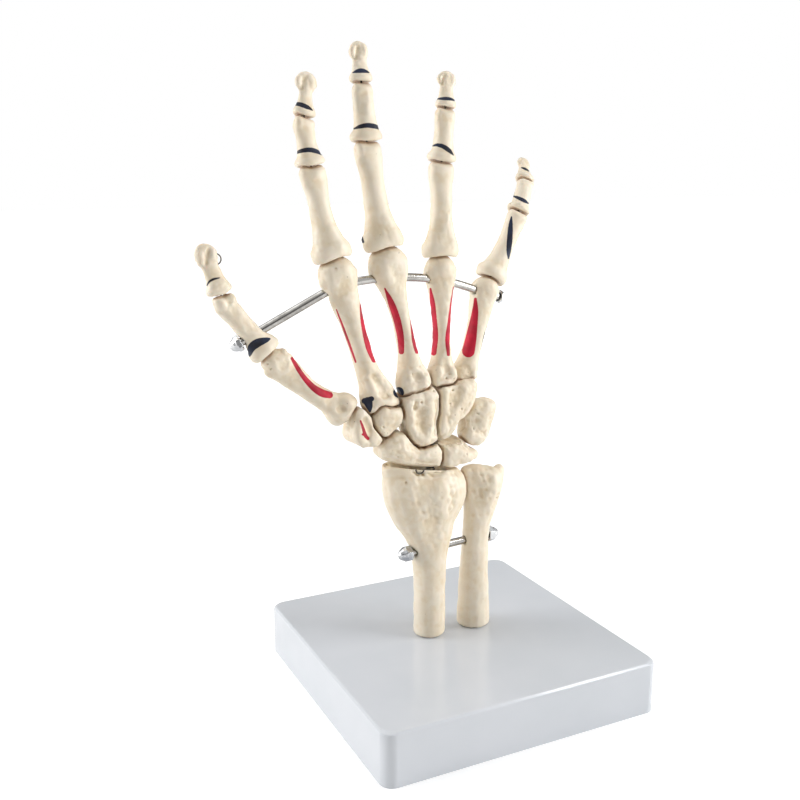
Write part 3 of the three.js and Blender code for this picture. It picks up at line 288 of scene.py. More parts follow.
def bone_material():
    material, tree, bsdf = new_material(
        "bone_plastic", IOR=1.5, Subsurface_Weight=0.12, Subsurface_Scale=0.0015,
        Subsurface_Radius=(1.0, 0.55, 0.3),
    )
    mottle = put(tree, "ShaderNodeGroup", {}, node_tree=MOTTLE)
    mottle.inputs["Cloud Scale"].default_value = 110
    mottle.inputs["Grain Scale"].default_value = 1100
    clouds, grain, specks = [mottle.outputs[n] for n in ("Clouds", "Grain", "Specks")]
    hollow, porous = attribute(tree, "hollow"), attribute(tree, "porous")
    cream = mix_colours(tree, ramp(tree, clouds, 0.35, 0.68), CREAM, WARM_CREAM)
    # Painted shade darkens the hollows
    cream = mix_colours(tree, ramp(tree, hollow, 0.3, 1.4, 0, 0.26), cream, PAINTED_HOLLOW_SHADE)
    # Painted shade darkens the seams where another bone comes near
    cream = mix_colours(tree, ramp(tree, attribute(tree, "near"), 1.3, 0.35, 0, 0.8), cream, PAINTED_SEAM_SHADE)
    # A painted highlight lightens the ridges
    ridge_highlight = ramp(tree, hollow, -0.15, -0.8, 0, 0.3)
    cream = mix_colours(tree, ridge_highlight, cream, PAINTED_RIDGE_HIGHLIGHT)
    pits = math_node(tree, "MULTIPLY", specks, porous)
    # Painted shade darkens the pits, which the bump also presses in
    cream = mix_colours(tree, math_node(tree, "MULTIPLY", pits, 0.65), cream, PAINTED_PIT_SHADE)
    ragged = math_node(tree, "MULTIPLY", math_node(tree, "SUBTRACT", grain, 0.5), 0.22)
    colour, paint = cream, None
    for name, (light, dark) in PAINTS.items():
        edge = math_node(tree, "ADD", attribute(tree, name), ragged)
        cover = ramp(tree, edge, PAINT_EDGE, -PAINT_EDGE)
        tone = mix_colours(tree, ramp(tree, clouds, 0.3, 0.7), light, dark)
        colour = mix_colours(tree, math_node(tree, "MULTIPLY", cover, 0.97), colour, tone)
        paint = cover if paint is None else math_node(tree, "MAXIMUM", paint, cover)
    tree.links.new(colour, bsdf.inputs["Base Color"])
    rough = math_node(tree, "MULTIPLY_ADD", grain, 0.16)
    rough.node.inputs[2].default_value = 0.36
    rough = math_node(tree, "SUBTRACT", rough, math_node(tree, "MULTIPLY", paint, 0.06))
    tree.links.new(rough, bsdf.inputs["Roughness"])
    relief = math_node(tree, "SUBTRACT", math_node(tree, "MULTIPLY", grain, 0.35), pits)
    relief = math_node(tree, "ADD", relief, math_node(tree, "MULTIPLY", paint, 0.35))
    tree.links.new(math_node(tree, "MULTIPLY_ADD", paint, -0.4), bsdf.inputs["Specular IOR Level"])
    bsdf.inputs["Specular IOR Level"].links[0].from_node.inputs[2].default_value = 0.5
    bump = put(tree, "ShaderNodeBump", {"Strength": 0.35, "Distance": 0.00035, "Height": relief})
    tree.links.new(bump.outputs[0], bsdf.inputs["Normal"])
    return material


def base_material(name, light, dark, roughness, coat):
    """Moulded plastic: faint sink clouds, orange peel and fine wipe marks."""
    material, tree, bsdf = new_material(name, IOR=1.49, Coat_Weight=coat, Coat_Roughness=0.06)
    mottle = put(tree, "ShaderNodeGroup", {}, node_tree=MOTTLE)
    mottle.inputs["Cloud Scale"].default_value = 18
    mottle.inputs["Grain Scale"].default_value = 700
    clouds, grain = mottle.outputs["Clouds"], mottle.outputs["Grain"]
    colour = mix_colours(tree, ramp(tree, clouds, 0.3, 0.7), light, dark)
    tree.links.new(colour, bsdf.inputs["Base Color"])
    wipes = put(tree, "ShaderNodeTexNoise", {
        "Vector": put(tree, "ShaderNodeMapping", {
            "Vector": object_place(tree), "Rotation": (0, 0, 0.6), "Scale": (1, 2.5, 1),
        }).outputs[0],
        "Scale": 14.0, "Detail": 2.0,
    }).outputs[0]
    rough = math_node(tree, "MULTIPLY_ADD", wipes, 0.05)
    rough.node.inputs[2].default_value = roughness
    tree.links.new(rough, bsdf.inputs["Roughness"])
    peel = math_node(tree, "ADD", math_node(tree, "MULTIPLY", grain, 0.3), clouds)
    bump = put(tree, "ShaderNodeBump", {"Strength": 0.12, "Distance": 0.0003, "Height": peel})
    tree.links.new(bump.outputs[0], bsdf.inputs["Normal"])
    return material


def metal_material(name, light, dark, roughness):
    material, tree, bsdf = new_material(name, Metallic=1.0)
    drawn = put(tree, "ShaderNodeGroup", {}, node_tree=DRAWN)
    streaks, smears = drawn.outputs["Streaks"], drawn.outputs["Smears"]
    tree.links.new(mix_colours(tree, ramp(tree, smears, 0.35, 0.7), light, dark), bsdf.inputs["Base Color"])
    rough = math_node(tree, "MULTIPLY_ADD", smears, 0.18)
    rough.node.inputs[2].default_value = roughness
    tree.links.new(rough, bsdf.inputs["Roughness"])
    bump = put(tree, "ShaderNodeBump", {"Strength": 0.1, "Distance": 0.00008, "Height": streaks})
    tree.links.new(bump.outputs[0], bsdf.inputs["Normal"])
    return material


BONE = bone_material()
BASE = base_material("base_plastic", srgb(215, 218, 223), srgb(209, 213, 218), 0.2, 0.15)
COVER = base_material("cover_plastic", srgb(150, 153, 158), srgb(138, 141, 146), 0.42, 0.0)
STEEL = metal_material("rod_steel", srgb(192, 190, 186), srgb(156, 153, 148), 0.14)
NUT = metal_material("polished_nut", srgb(212, 213, 214), srgb(172, 174, 178), 0.1)
WIRE = metal_material("wire_steel", srgb(120, 115, 108), srgb(78, 73, 66), 0.25)


# Painted marks that the photograph shows: each is a stroke through places in its pixels, with half widths

PIXEL = 0.427         # millimetres that a pixel covers at the hand
MARKS = {
    "index_distal": [("blue", [
        (292.2, 104.8, 0.6), (296, 104, 1.7), (301, 104.6, 2.2), (307, 107, 2.1), (312.6, 110.2, 0.6),
    ])],
    "index_middle": [("blue", [
        (295.4, 153.6, 0.8), (301, 151, 2), (309, 149.8, 2.4), (316, 151.2, 2.2), (322, 154.6, 0.8),
    ])],
    "middle_distal": [("blue", [
        (352.6, 72.6, 0.5), (357, 71.2, 1.8), (361, 70.6, 2.3), (365, 71.2, 1.8), (369, 72.6, 0.5),
    ])],
    "middle_middle": [("blue", [
        (354, 128.8, 0.7), (360, 126.6, 2), (367, 125.4, 2.4), (375, 126.4, 2.3), (382.4, 129.6, 0.8),
    ])],
    "middle_proximal": [("blue", [(361.8, 236.8, 1), (363.2, 242, 1.2)])],
    "ring_distal": [
        ("blue", [(436.8, 99, 0.5), (442, 98.6, 1.5), (449, 98.8, 1.7), (455.4, 100.6, 0.5)]),
        ("blue", [(444.8, 106.4, 0.6), (446, 107.2, 0.6)]),
    ],
    "ring_middle": [("blue", [
        (432.4, 146, 0.5), (437, 145, 1.6), (443, 146.4, 2.2), (449, 150.4, 2.1), (453.4, 155, 0.6),
    ])],
    "little_distal": [("blue", [(521.6, 167.6, 0.6), (525, 168.8, 1.2), (528.8, 171, 0.6)])],
    "little_middle": [("blue", [(513, 196, 0.7), (518, 197.8, 1.6), (524, 200.6, 1.8), (528.2, 203.4, 0.7)])],
    "little_proximal": [("blue", [
        (511.4, 217, 0.8), (510.6, 226, 2.3), (509.8, 238, 2.8), (508.8, 250, 2.4), (508.4, 258.4, 0.8),
    ])],
    "thumb_distal": [("blue", [(207, 285.6, 0.6), (209, 282, 1), (213, 279.4, 1.2), (219.4, 277.8, 0.6)])],
    "thumb_proximal": [
        ("blue", [
            (249.6, 355, 1.6), (251.6, 347.6, 4), (258, 342.8, 4.2), (266, 340, 2.6), (269.6, 338.8, 1),
        ]),
    ],
    "thumb_metacarpal": [("red", [
        (292, 358.4, 1.5), (297, 367, 2.2), (304, 377.4, 2.5), (313, 387.2, 3.2), (322, 393, 3.9),
        (329.6, 395, 3.4),
    ])],
    "index_metacarpal": [
        ("red", [(336.4, 309.6, 0.6), (343, 327, 1.1), (350, 346, 1.2), (355.6, 362, 1)]),
        ("red", [
            (360.4, 303, 0.7), (362.4, 318, 2.2), (365.6, 333, 3.2), (369.8, 348, 3.8), (374, 360, 2.6),
        ]),
        ("blue", [(364.2, 401, 2.8), (371.6, 398.8, 2.6)]),
        ("blue", [(367.8, 401.6, 4.6), (369, 406, 3.6), (369.8, 411.4, 1.4)]),
        ("blue", [(398.6, 392.4, 5.4)]),
    ],
    "middle_metacarpal": [
        ("red", [
            (384.8, 288.4, 0.7), (391, 302.6, 3.2), (396.6, 318.6, 3.7), (400.4, 336, 3.5),
            (401.4, 351.6, 2.8),
        ]),
        ("red", [
            (409.9, 281.5, 0.5), (411.3, 302.6, 1.7), (412.8, 321.8, 2.6), (415, 340.9, 3),
            (417, 351.6, 2.2),
        ]),
        ("blue", [(398.6, 392.4, 5.4)]),
    ],
    "ring_metacarpal": [
        ("red", [
            (430.4, 288.8, 1), (432.4, 302.6, 2.6), (434, 318.6, 2.8), (435.2, 336, 3), (433.6, 352.6, 3),
        ]),
        ("red", [
            (453.6, 287, 0.6), (451.6, 302.6, 1.4), (449.3, 321.8, 1.7), (447.4, 339.3, 2.2),
            (448.4, 354.6, 1.6),
        ]),
    ],
    "little_metacarpal": [
        ("red", [
            (475.4, 299, 1.4), (475.2, 310.6, 3.1), (473.2, 325, 4.4), (470.8, 339.3, 5.6),
            (468.4, 351, 6.4),
        ]),
        ("blue", [(492.3, 315.4, 0.5), (488, 326, 0.8), (484.3, 337, 0.9), (479.6, 361, 0.8)]),
        ("blue", [(474.6, 385, 0.6), (474, 388, 0.6)]),
    ],
    "trapezium": [
        ("red", [(360.6, 421, 0.9), (363.4, 429, 1.5), (365.4, 435.4, 1.8), (368, 438.6, 1.6)]),
        ("red", [(362.6, 434.4, 1), (366, 435.6, 1.6)]),
    ],
}


# Bones

def tree_of(points):
    tree = KDTree(len(points))
    for index, point in enumerate(points):
        tree.insert(point, index)
    tree.balance()
    return tree


def smooth_line(rows, steps=8):
    """Rows along a smooth curve through the given rows."""
    rows = np.array(rows, float)
    if len(rows) == 1:
        return rows
    padded = np.vstack([2 * rows[0] - rows[1], rows, 2 * rows[-1] - rows[-2]])
    line = []
    for a, b, c, d in zip(padded, padded[1:], padded[2:], padded[3:]):
        for t in np.arange(steps) / steps:
            place = b + t * (c - a) / 2 + t * t * (a - 2.5 * b + 2 * c - d / 2)
            line.append(place + t ** 3 * (3 * (b - c) + d - a) / 2)
    return np.array(line + [rows[-1]])


def stroke_distance(points, line):
    """Distance from each point to a stroke's edge, negative inside; the last column is its half width."""
    nearest = np.full(len(points), np.inf)
    for start, end in zip(line, np.vstack([line[1:], line[-1:]])):
        along = end[:-1] - start[:-1]
        share = np.clip((points - start[:-1]) @ along / max(along @ along, 1e-6), 0, 1)
        away = np.linalg.norm(points - start[:-1] - share[:, None] * along, axis=1)
        nearest = np.minimum(nearest, away - (start[-1] + share * (end[-1] - start[-1])))
    return nearest


def hollowness(mesh, rounds):
    """How far each point lies in a hollow, about -1 on ridges and 1 in creases."""
    points = vertex_table(mesh)
    normals = vertex_table(mesh, "vertex_normals", "vector")
    edges = np.zeros(len(mesh.edges) * 2, np.int32)
    mesh.edges.foreach_get("vertices", edges)
    one, two = edges.reshape(-1, 2).T
    count = np.bincount(one, minlength=len(points)) + np.bincount(two, minlength=len(points))

    def spread(values):
        total = np.bincount(one, values[two], len(points)) + np.bincount(two, values[one], len(points))
        return total / np.maximum(count, 1)

    soft = points.copy()
    for _ in range(rounds):
        soft = np.column_stack([spread(soft[:, axis]) for axis in range(3)])
    deep = ((soft - points) * normals).sum(1)
    return spread(spread(deep))


WOBBLE = np.array([[1700, 900, 400], [-500, 1500, 1100], [600, -800, 1600]])    # waves per metre


class BoneShape:
    """A bone's own directions: along it, across it to the right, and from its back to its palm side."""

    def __init__(self, points):
        self.middle = points.mean(0)
        directions = np.linalg.eigh(np.cov((points - self.middle).T))[1]
        along = directions[:, 2] * np.sign(directions[2, 2])
        palm = np.array([0.0, 1.0, 0.0])
        palm -= (palm @ along) * along
        palm /= np.linalg.norm(palm)
        self.axes = np.stack([along, np.cross(palm, along), palm])
        local = (points - self.middle) @ self.axes.T
        self.low, self.high = local.min(0), local.max(0)
        self.local = local

    def place(self, along, across, palm):
        """The surface point nearest to a place given in shares: 0 to 1 along, -1 to 1 across and deep."""
        height = self.low[0] + along * (self.high[0] - self.low[0])
        band = np.abs(self.local[:, 0] - height) < 0.06 * (self.high[0] - self.low[0])
        slab = self.local[band]
        centre, half = (slab.max(0) + slab.min(0)) / 2, (slab.max(0) - slab.min(0)) / 2
        wanted = centre + half * np.array([0, across, palm])
        wanted[0] = height
        return int(np.flatnonzero(band)[np.argmin(((slab - wanted) ** 2).sum(1))])


# How wide and how deep a bone is along its length, against the plain shape: share, across, deep
PROFILES = {
    "phalanx": [
        (0, 1.03, 1.03), (0.05, 1.07, 1.06), (0.11, 1.03, 1.02), (0.2, 0.94, 0.95), (0.45, 0.97, 1),
        (0.75, 0.95, 0.97), (0.86, 0.92, 0.98), (0.94, 0.93, 1), (1, 0.92, 1),
    ],
    "tip": [
        (0, 1.05, 1.05), (0.08, 1.1, 1.08), (0.15, 1.04, 1.04), (0.24, 0.9, 0.9), (0.36, 0.86, 0.88),
        (0.5, 0.95, 0.84), (0.64, 1.02, 0.8), (0.78, 1.07, 0.78), (0.9, 1.12, 0.82), (1, 1.1, 0.9),
    ],
    "metacarpal": [
        (0, 1.02, 1), (0.1, 1.02, 1), (0.2, 0.92, 0.98), (0.3, 0.84, 0.98), (0.48, 0.84, 1), (0.62, 0.9, 1),
        (0.76, 0.98, 1), (0.88, 1.02, 1), (1, 1, 1),
    ],
}


def reshape(mesh, kind):
    """Makes a long bone slimmer or wider along its length."""
    points = vertex_table(mesh)
    shape = BoneShape(points)
    rows = np.array(PROFILES[kind])
    local = shape.local
    share = (local[:, 0] - shape.low[0]) / (shape.high[0] - shape.low[0])
    knots = np.linspace(0, 1, 25)
    middles = np.array([
        [(np.max(part) + np.min(part)) / 2 for part in local[np.abs(share - knot) < 0.045][:, 1:].T]
        for knot in knots
    ])
    places = np.linspace(0, 1, 201)
    blur = np.hanning(17) / np.hanning(17).sum()
    for axis in (1, 2):
        factors = np.interp(places, rows[:, 0], rows[:, axis])
        factors = np.convolve(np.pad(factors, 8, mode="edge"), blur, mode="valid")
        middle = np.interp(share, knots, middles[:, axis - 1])
        local[:, axis] = middle + (local[:, axis] - middle) * np.interp(share, places, factors)
    write_vertices(mesh, local @ shape.axes + shape.middle)


def ripples(points):
    """A steady wobble that keeps sculpted shapes from being perfectly round."""
    return 1 + 0.1 * np.sin(points @ WOBBLE).sum(1)


def sculpt(mesh, touches):
    """Presses or raises the surface round chosen points, along the surface's own direction there."""
    points = vertex_table(mesh)
    normals = vertex_table(mesh, "vertex_normals", "vector")
    wave = ripples(points)
    for index, radius, rise in touches:
        away = np.linalg.norm(points - points[index], axis=1) / (radius * MM) * wave
        near = away < 1
        facing = normals[near] @ normals[index] > 0
        amount = (1 - away[near] ** 2) ** 2 * facing
        points[near] += normals[index] * (amount * rise * MM)[:, None]
    write_vertices(mesh, points)


FADE = 1.7            # a ridge or groove fades out at this many times its half width


def carve_seen(mesh, strokes):
    """Presses or raises the surface along strokes seen in the photograph."""
    points = vertex_table(mesh)
    normals = vertex_table(mesh, "vertex_normals", "vector")
    places = in_picture(points)
    facing = np.clip(towards_camera(mesh) / 0.3, 0, 1)
    wave = ripples(points)
    for rise, half_width, stroke in strokes:
        line = smooth_line([(x, y, 0) for x, y in stroke])
        reach = half_width * (FADE if len(stroke) > 1 else 1)
        away = np.minimum(stroke_distance(places, line) / reach * wave, 1)
        points += normals * (facing * (1 - away ** 2) ** 2 * rise * MM)[:, None]
    write_vertices(mesh, points)


# Ridges, hollows and pits that the photograph shows: the rise in millimetres, the half width in pixels
# and the places that it runs through, in the photograph's pixels
RELIEF = {
    "capitate": [
        (-1.3, 5.5, [(420, 412), (421.5, 427)]), (0.8, 5, [(431, 396), (431, 430)]),
        (0.7, 4.5, [(408, 402), (410, 428)]),
        (0.5, 5, [(414, 437), (426, 438)]), (-1.2, 2.2, [(416, 402.5), (414.6, 409)]),
        (-1, 1.7, [(421.5, 402.5)]),
        (-0.9, 1.6, [(433, 391.5)]), (0.5, 5, [(413, 395), (424, 393)]),
        (-1.3, 3.2, [(437, 402), (437, 416), (435, 434)]),
    ],
    "hamate": [
        (-1, 1.8, [(453, 390)]), (-1, 1.7, [(446, 382)]), (0.7, 4.5, [(443, 392), (443, 430)]),
        (-1.3, 3.2, [(437, 402), (437, 416), (435, 434)]), (-0.8, 6, [(456, 392), (452, 402)]),
        (0.7, 5, [(466, 384), (463, 400), (454, 416)]), (-0.8, 1.4, [(450, 404)]), (-0.7, 1.4, [(461, 409)]),
        (-0.8, 4, [(440, 438), (450, 434)]),
    ],
    "triquetrum": [
        (1, 5, [(491, 404), (486, 414), (484, 424)]), (-1.2, 2, [(478, 414)]),
        (-1, 4.5, [(470, 408), (473, 420)]),
        (0.5, 4, [(474, 401), (484, 401)]), (0.8, 5, [(466, 436), (478, 439)]), (-0.9, 1.6, [(473, 429)]),
        (-0.6, 3, [(483, 433), (490, 424)]), (-0.8, 3, [(463, 420), (464, 428)]),
    ],
    "scaphoid": [
        (0.8, 6, [(396, 436), (404, 448)]), (-0.7, 5, [(410, 446), (420, 450)]),
        (0.8, 6.5, [(424, 455), (436, 452)]),
        (-0.6, 4, [(386, 456), (398, 461)]), (-0.8, 1.5, [(398, 457)]), (-0.8, 4, [(418, 464), (434, 464)]),
        (0.5, 5, [(384, 449), (392, 446)]),
    ],
    "lunate": [
        (1.3, 7, [(452, 458), (464, 456)]), (-1.4, 6, [(446, 444), (457, 441), (468, 446)]),
        (-1, 1.6, [(465, 454)]),
        (0.5, 5, [(446, 463), (450, 466)]),
    ],
    "trapezium": [
        (0.8, 5, [(358, 414), (356, 428), (362, 443)]), (-0.8, 3.6, [(365, 420), (369, 430)]),
        (0.7, 4, [(374, 440), (377, 434)]),
        (-0.5, 4, [(351, 438), (356, 446)]),
    ],
    "trapezoid": [
        (-1, 1.8, [(383, 427)]), (0.8, 7, [(386, 415), (392, 416)]), (-0.6, 3, [(375, 416), (378, 426)]),
        (-0.5, 4, [(390, 431), (396, 427)]),
    ],
    "index_metacarpal": [
        (-1.3, 5, [(374, 378), (380, 386), (386, 394)]), (0.7, 4, [(368, 378), (371, 390)]),
        (0.6, 3.4, [(380, 402), (390, 403), (399, 402)]), (0.7, 4.5, [(382, 374), (391, 386)]),
        (-0.6, 3.4, [(393, 392), (390, 397)]), (0.5, 4, [(362, 396), (370, 409)]),
        (-1, 1.7, [(335.5, 268.5)]), (0.5, 6, [(327, 272), (333, 290)]), (0.5, 5, [(348, 268), (350, 284)]),
        (-0.5, 6, [(338, 292), (346, 320)]),
    ],
    "middle_metacarpal": [
        (0.7, 4, [(402, 372), (400, 386)]), (-1.2, 6, [(415, 376), (417, 386)]),
        (0.7, 4, [(424, 370), (427, 384)]),
        (-0.7, 2, [(420, 367), (424, 374)]), (0.5, 3, [(404, 392), (414, 388), (424, 386)]),
        (-0.7, 1.4, [(412, 374)]),
        (-0.5, 6, [(398, 280), (402, 310)]), (0.5, 5, [(384, 262), (386, 276)]),
        (0.5, 5, [(406, 262), (408, 276)]),
    ],
    "ring_metacarpal": [
        (-1.3, 2.2, [(446.5, 378.5)]), (-0.9, 1.6, [(450, 374)]), (0.7, 4, [(437, 372), (436, 382)]),
        (0.6, 4, [(455, 372), (457, 380)]), (-0.7, 4.5, [(446, 364), (446, 374)]),
        (0.5, 3, [(440, 385), (452, 384)]),
        (-0.5, 6, [(438, 280), (442, 310)]),
    ],
    "little_metacarpal": [
        (-0.7, 3.6, [(466, 368), (467, 376)]), (0.6, 3.4, [(474, 378)]), (0.5, 3, [(461, 379)]),
    ],
    "thumb_metacarpal": [
        (0.8, 4.6, [(289, 348), (292, 354)]), (-0.5, 5, [(278, 350), (282, 362)]), (-0.8, 1.5, [(268, 364)]),
        (-0.8, 1.4, [(271, 369)]), (0.7, 6, [(346, 400), (355, 404)]), (-0.8, 6, [(332, 402), (342, 408)]),
        (0.5, 5, [(300, 372), (318, 394)]), (0.5, 5, [(344, 418), (352, 416)]),
    ],
    "thumb_proximal": [
        (0.6, 4.5, [(219, 300), (222, 306)]), (0.5, 4.5, [(230, 290), (234, 297)]),
        (-0.6, 3.4, [(225, 296), (229, 302)]),
        (0.5, 4, [(254, 357), (268, 350)]), (-0.5, 5, [(236, 310), (250, 328)]),
    ],
    "thumb_distal": [
        (-0.7, 2.4, [(208, 252), (206, 262)]), (0.5, 2.6, [(200, 254), (201, 264)]),
        (0.5, 2.6, [(213, 250), (214, 258)]),
        (0.5, 3.4, [(212, 287), (223, 282)]),
    ],
    "index_distal": [
        (-0.7, 2.6, [(304, 78), (302, 88)]), (0.5, 2.4, [(297, 78), (297, 88)]),
        (0.4, 2.4, [(311, 76), (313, 86)]),
    ],
    "middle_distal": [
        (-0.7, 2.4, [(357, 48), (356, 58)]), (0.5, 2.2, [(352, 48), (352, 56)]),
        (0.4, 2.4, [(365, 46), (365, 54)]),
    ],
    "ring_distal": [
        (-0.7, 2.4, [(444, 76), (442, 84)]), (0.5, 2.2, [(438, 76), (438, 84)]),
        (0.4, 2.4, [(454, 76), (454, 84)]),
    ],
    "little_distal": [(-0.4, 1.8, [(521, 160), (520, 164)])],
    "ring_proximal": [
        (-0.5, 4.5, [(444, 214), (438, 228)]), (0.5, 5, [(454, 226), (456, 242)]),
        (0.5, 4, [(433, 236), (433, 246)]),
    ],
    "middle_proximal": [
        (-0.4, 6, [(368, 214), (376, 232)]), (0.5, 5, [(388, 220), (397, 238)]),
        (0.5, 4, [(360, 142), (360, 150)]),
        (-0.5, 3, [(356, 150), (357, 156)]),
    ],
    "index_proximal": [
        (-0.4, 6, [(318, 226), (326, 244)]), (0.5, 5, [(332, 230), (342, 248)]),
        (0.5, 4, [(303, 165), (303, 174)]),
        (0.4, 4, [(317, 166), (317, 174)]),
    ],
    "index_middle": [(-0.7, 1.6, [(315, 124)]), (0.4, 3, [(299, 118), (299, 126)])],
    "middle_middle": [(-0.5, 4, [(362, 96), (362, 112)])],
    "radius": [
        (-1.1, 2, [(406, 483)]), (0.6, 7, [(388, 474), (394, 486)]),
        (1, 7, [(446, 478), (442, 494), (441, 512)]),
        (-0.8, 9, [(426, 484), (424, 500)]), (-0.6, 8, [(434, 520), (430, 536)]),
        (0.6, 7, [(458, 482), (457, 500)]),
        (-1.7, 5, [(417, 469), (428, 470), (439, 469)]), (-1.2, 5, [(386, 466)]), (-1.6, 2.4, [(422, 472)]),
    ],
    "ulna": [
        (-1.5, 7, [(474, 478), (479, 490)]), (-0.7, 6, [(480, 498), (482, 512)]),
        (0.8, 5.5, [(462, 474), (465, 484)]),
        (0.8, 4.5, [(497, 472), (495, 488)]), (-0.5, 4, [(484, 474), (487, 480)]), (-0.8, 1.6, [(497, 498)]),
    ],
}

# Touches on every long bone of a kind: the place along, across and towards the palm in shares, then the
# radius and the rise in millimetres
LONG_BONE_TOUCHES = {
    "phalanx": [
        (0.93, -1, 0.1, 1.7, -0.5), (0.93, 1, 0.1, 1.7, -0.5),
        (0.82, -0.9, -0.4, 2.2, 0.25), (0.82, 0.9, -0.4, 2.2, 0.25),
        (0.12, -0.9, 0.4, 2.4, 0.45), (0.12, 0.9, 0.4, 2.4, 0.45),
        (0.45, -0.8, 0.8, 4.5, 0.3), (0.45, 0.8, 0.8, 4.5, 0.3), (0.45, 0, 1, 5, -0.3),
        (0.86, 0, 1, 2.6, -0.5), (0.2, 0, -1, 4, -0.2),
    ],
    "metacarpal": [
        (0.88, -1, -0.3, 2.6, 0.6), (0.88, 1, -0.3, 2.6, 0.6),
        (0.93, -1, 0.2, 2.6, -0.7), (0.93, 1, 0.2, 2.6, -0.7),
        (0.83, 0, -1, 4.5, -0.35), (0.82, 0, 1, 4, -0.4),
        (0.11, -0.5, -1, 3, 0.4), (0.1, 0.5, -1, 3.2, 0.5), (0.13, 0, -1, 3, -0.6),
        (0.08, 0, 1, 3, 0.5), (0.2, -0.9, 0, 4, -0.4), (0.2, 0.9, 0, 4, -0.4),
    ],
    "tip": [
        (0.12, 0, 1, 2.6, 0.4), (0.5, 0, 1, 4, -0.35), (0.86, 0, 1, 2.6, 0.3),
        (0.8, 0, -1, 3, -0.2), (0.76, -1, 0.2, 1.2, 0.25), (0.76, 1, 0.2, 1.2, 0.25),
    ],
}


# Hook, tubercles and hollows on the palm side of the wrist bones, and the radius' dished top, given in the
# same way as the long bones' touches
HIDDEN_TOUCHES = {
    "hamate": [(0.35, 0.1, 1, 3.4, 3.2), (0.7, 0, 1, 3, -0.7)],
    "scaphoid": [(0.6, -0.7, 1, 3.2, 1.6), (0.4, 0.3, 1, 3.5, -0.8)],
    "trapezium": [(0.5, -0.3, 1, 2.6, 1.2), (0.5, 0.3, 1, 2, -0.8)],
    "capitate": [(0.7, 0, 1, 4, 0.9), (0.35, 0, 1, 3, -0.7), (0.5, -0.6, 1, 2, 0.5)],
    "lunate": [(0.5, 0, 1, 4, 1), (0.3, -0.6, 1, 2, -0.5)],
    "triquetrum": [(0.5, -0.3, 1, 3, -0.8), (0.7, 0.4, 1, 2.4, 0.6)],
    "pisiform": [(0.5, -0.4, 1, 2.4, 0.6), (0.5, 0.5, 0.6, 2, -0.5), (0.8, 0, 0.6, 2, -0.4)],
    "trapezoid": [(0.5, 0, 1, 2.5, -0.6)],
    "radius": [(0.97, -0.45, 0, 8, -0.7), (0.97, 0.45, 0, 8, -0.7)],
}


# Marks of the palm side: colour, then points along, across and towards the palm in shares, with half widths
FLEXOR = [("blue", [(0.17, -0.5, 1, 0.7), (0.17, 0.5, 1, 0.7)])]
SUBLIMIS = [
    ("blue", [(0.32, side * 0.8, 0.7, 0.4), (0.5, side * 0.8, 0.7, 0.6), (0.62, side * 0.8, 0.7, 0.2)])
    for side in (-1, 1)
]
PALM_MARKS = {
    "index_distal": FLEXOR, "middle_distal": FLEXOR, "ring_distal": FLEXOR, "little_distal": FLEXOR,
    "index_middle": SUBLIMIS, "middle_middle": SUBLIMIS, "ring_middle": SUBLIMIS, "little_middle": SUBLIMIS,
    "thumb_distal": [("blue", [(0.2, -0.4, 1, 1.1), (0.2, 0.4, 1, 1.1)])],
    "thumb_metacarpal": [("blue", [(0.3, -0.8, 0.6, 0.4), (0.55, -0.9, 0.5, 1), (0.8, -0.8, 0.6, 0.3)])],
    "index_metacarpal": [
        ("blue", [
            (0.07, 0, 1, 1.5)]), ("red", [(0.3, 0.8, 0.7, 0.4), (0.5, 0.8, 0.7, 0.9), (0.75, 0.8, 0.7, 0.3),
        ]),
    ],
    "middle_metacarpal": [
        ("blue", [(0.07, -0.3, 1, 1)]), ("red", [(0.25, 0, 1, 0.5), (0.5, 0, 1, 1.2), (0.78, 0, 1, 0.4)]),
    ],
    "ring_metacarpal": [("red", [(0.3, -0.8, 0.7, 0.3), (0.5, -0.8, 0.7, 0.8), (0.72, -0.8, 0.7, 0.3)])],
    "little_metacarpal": [
        ("red", [(0.3, -0.8, 0.7, 0.3), (0.5, -0.8, 0.7, 0.8), (0.72, -0.8, 0.7, 0.3)]),
        ("blue", [(0.25, 0.9, 0.5, 0.3), (0.5, 0.9, 0.5, 0.8), (0.75, 0.9, 0.5, 0.3)]),
    ],
    "hamate": [("red", [(0.25, -0.2, 1, 0.8), (0.4, 0.2, 1, 1.6), (0.55, 0.3, 1, 0.8)])],
    "pisiform": [("blue", [(0.35, -0.3, 1, 0.8), (0.6, 0.3, 1, 1.5)])],
    "scaphoid": [("red", [(0.4, -0.4, 1, 0.6), (0.55, -0.1, 1, 1.3)])],
    "capitate": [("red", [(0.45, -0.4, 1, 0.8), (0.6, 0, 1, 1.6), (0.7, 0.4, 1, 0.9)])],
}

# A mark thins out where the bone turns away: this much of a turn counts as a millimetre
MM_PER_TURN = 0.12
FAR_AWAY = 9.0        # a distance in millimetres at which nothing shows
HOLLOW_STEP = 0.05    # a hollow of this many millimetres counts as one

# Kind of bone: voxel size, rounds of smoothing, swell, broad and fine unevenness, all sizes in millimetres
BONE_KINDS = {
    "metacarpal": (0.36, 6, 0.22, 0.7, 0.22),
    "phalanx": (0.4, 5, 0.22, 0.55, 0.16),
    "tip": (0.36, 4, 0.2, 0.6, 0.2),
    "carpal": (0.32, 12, 0.2, 1.1, 0.3),
    "forearm": (0.45, 26, 0.15, 0.8, 0.14),
}


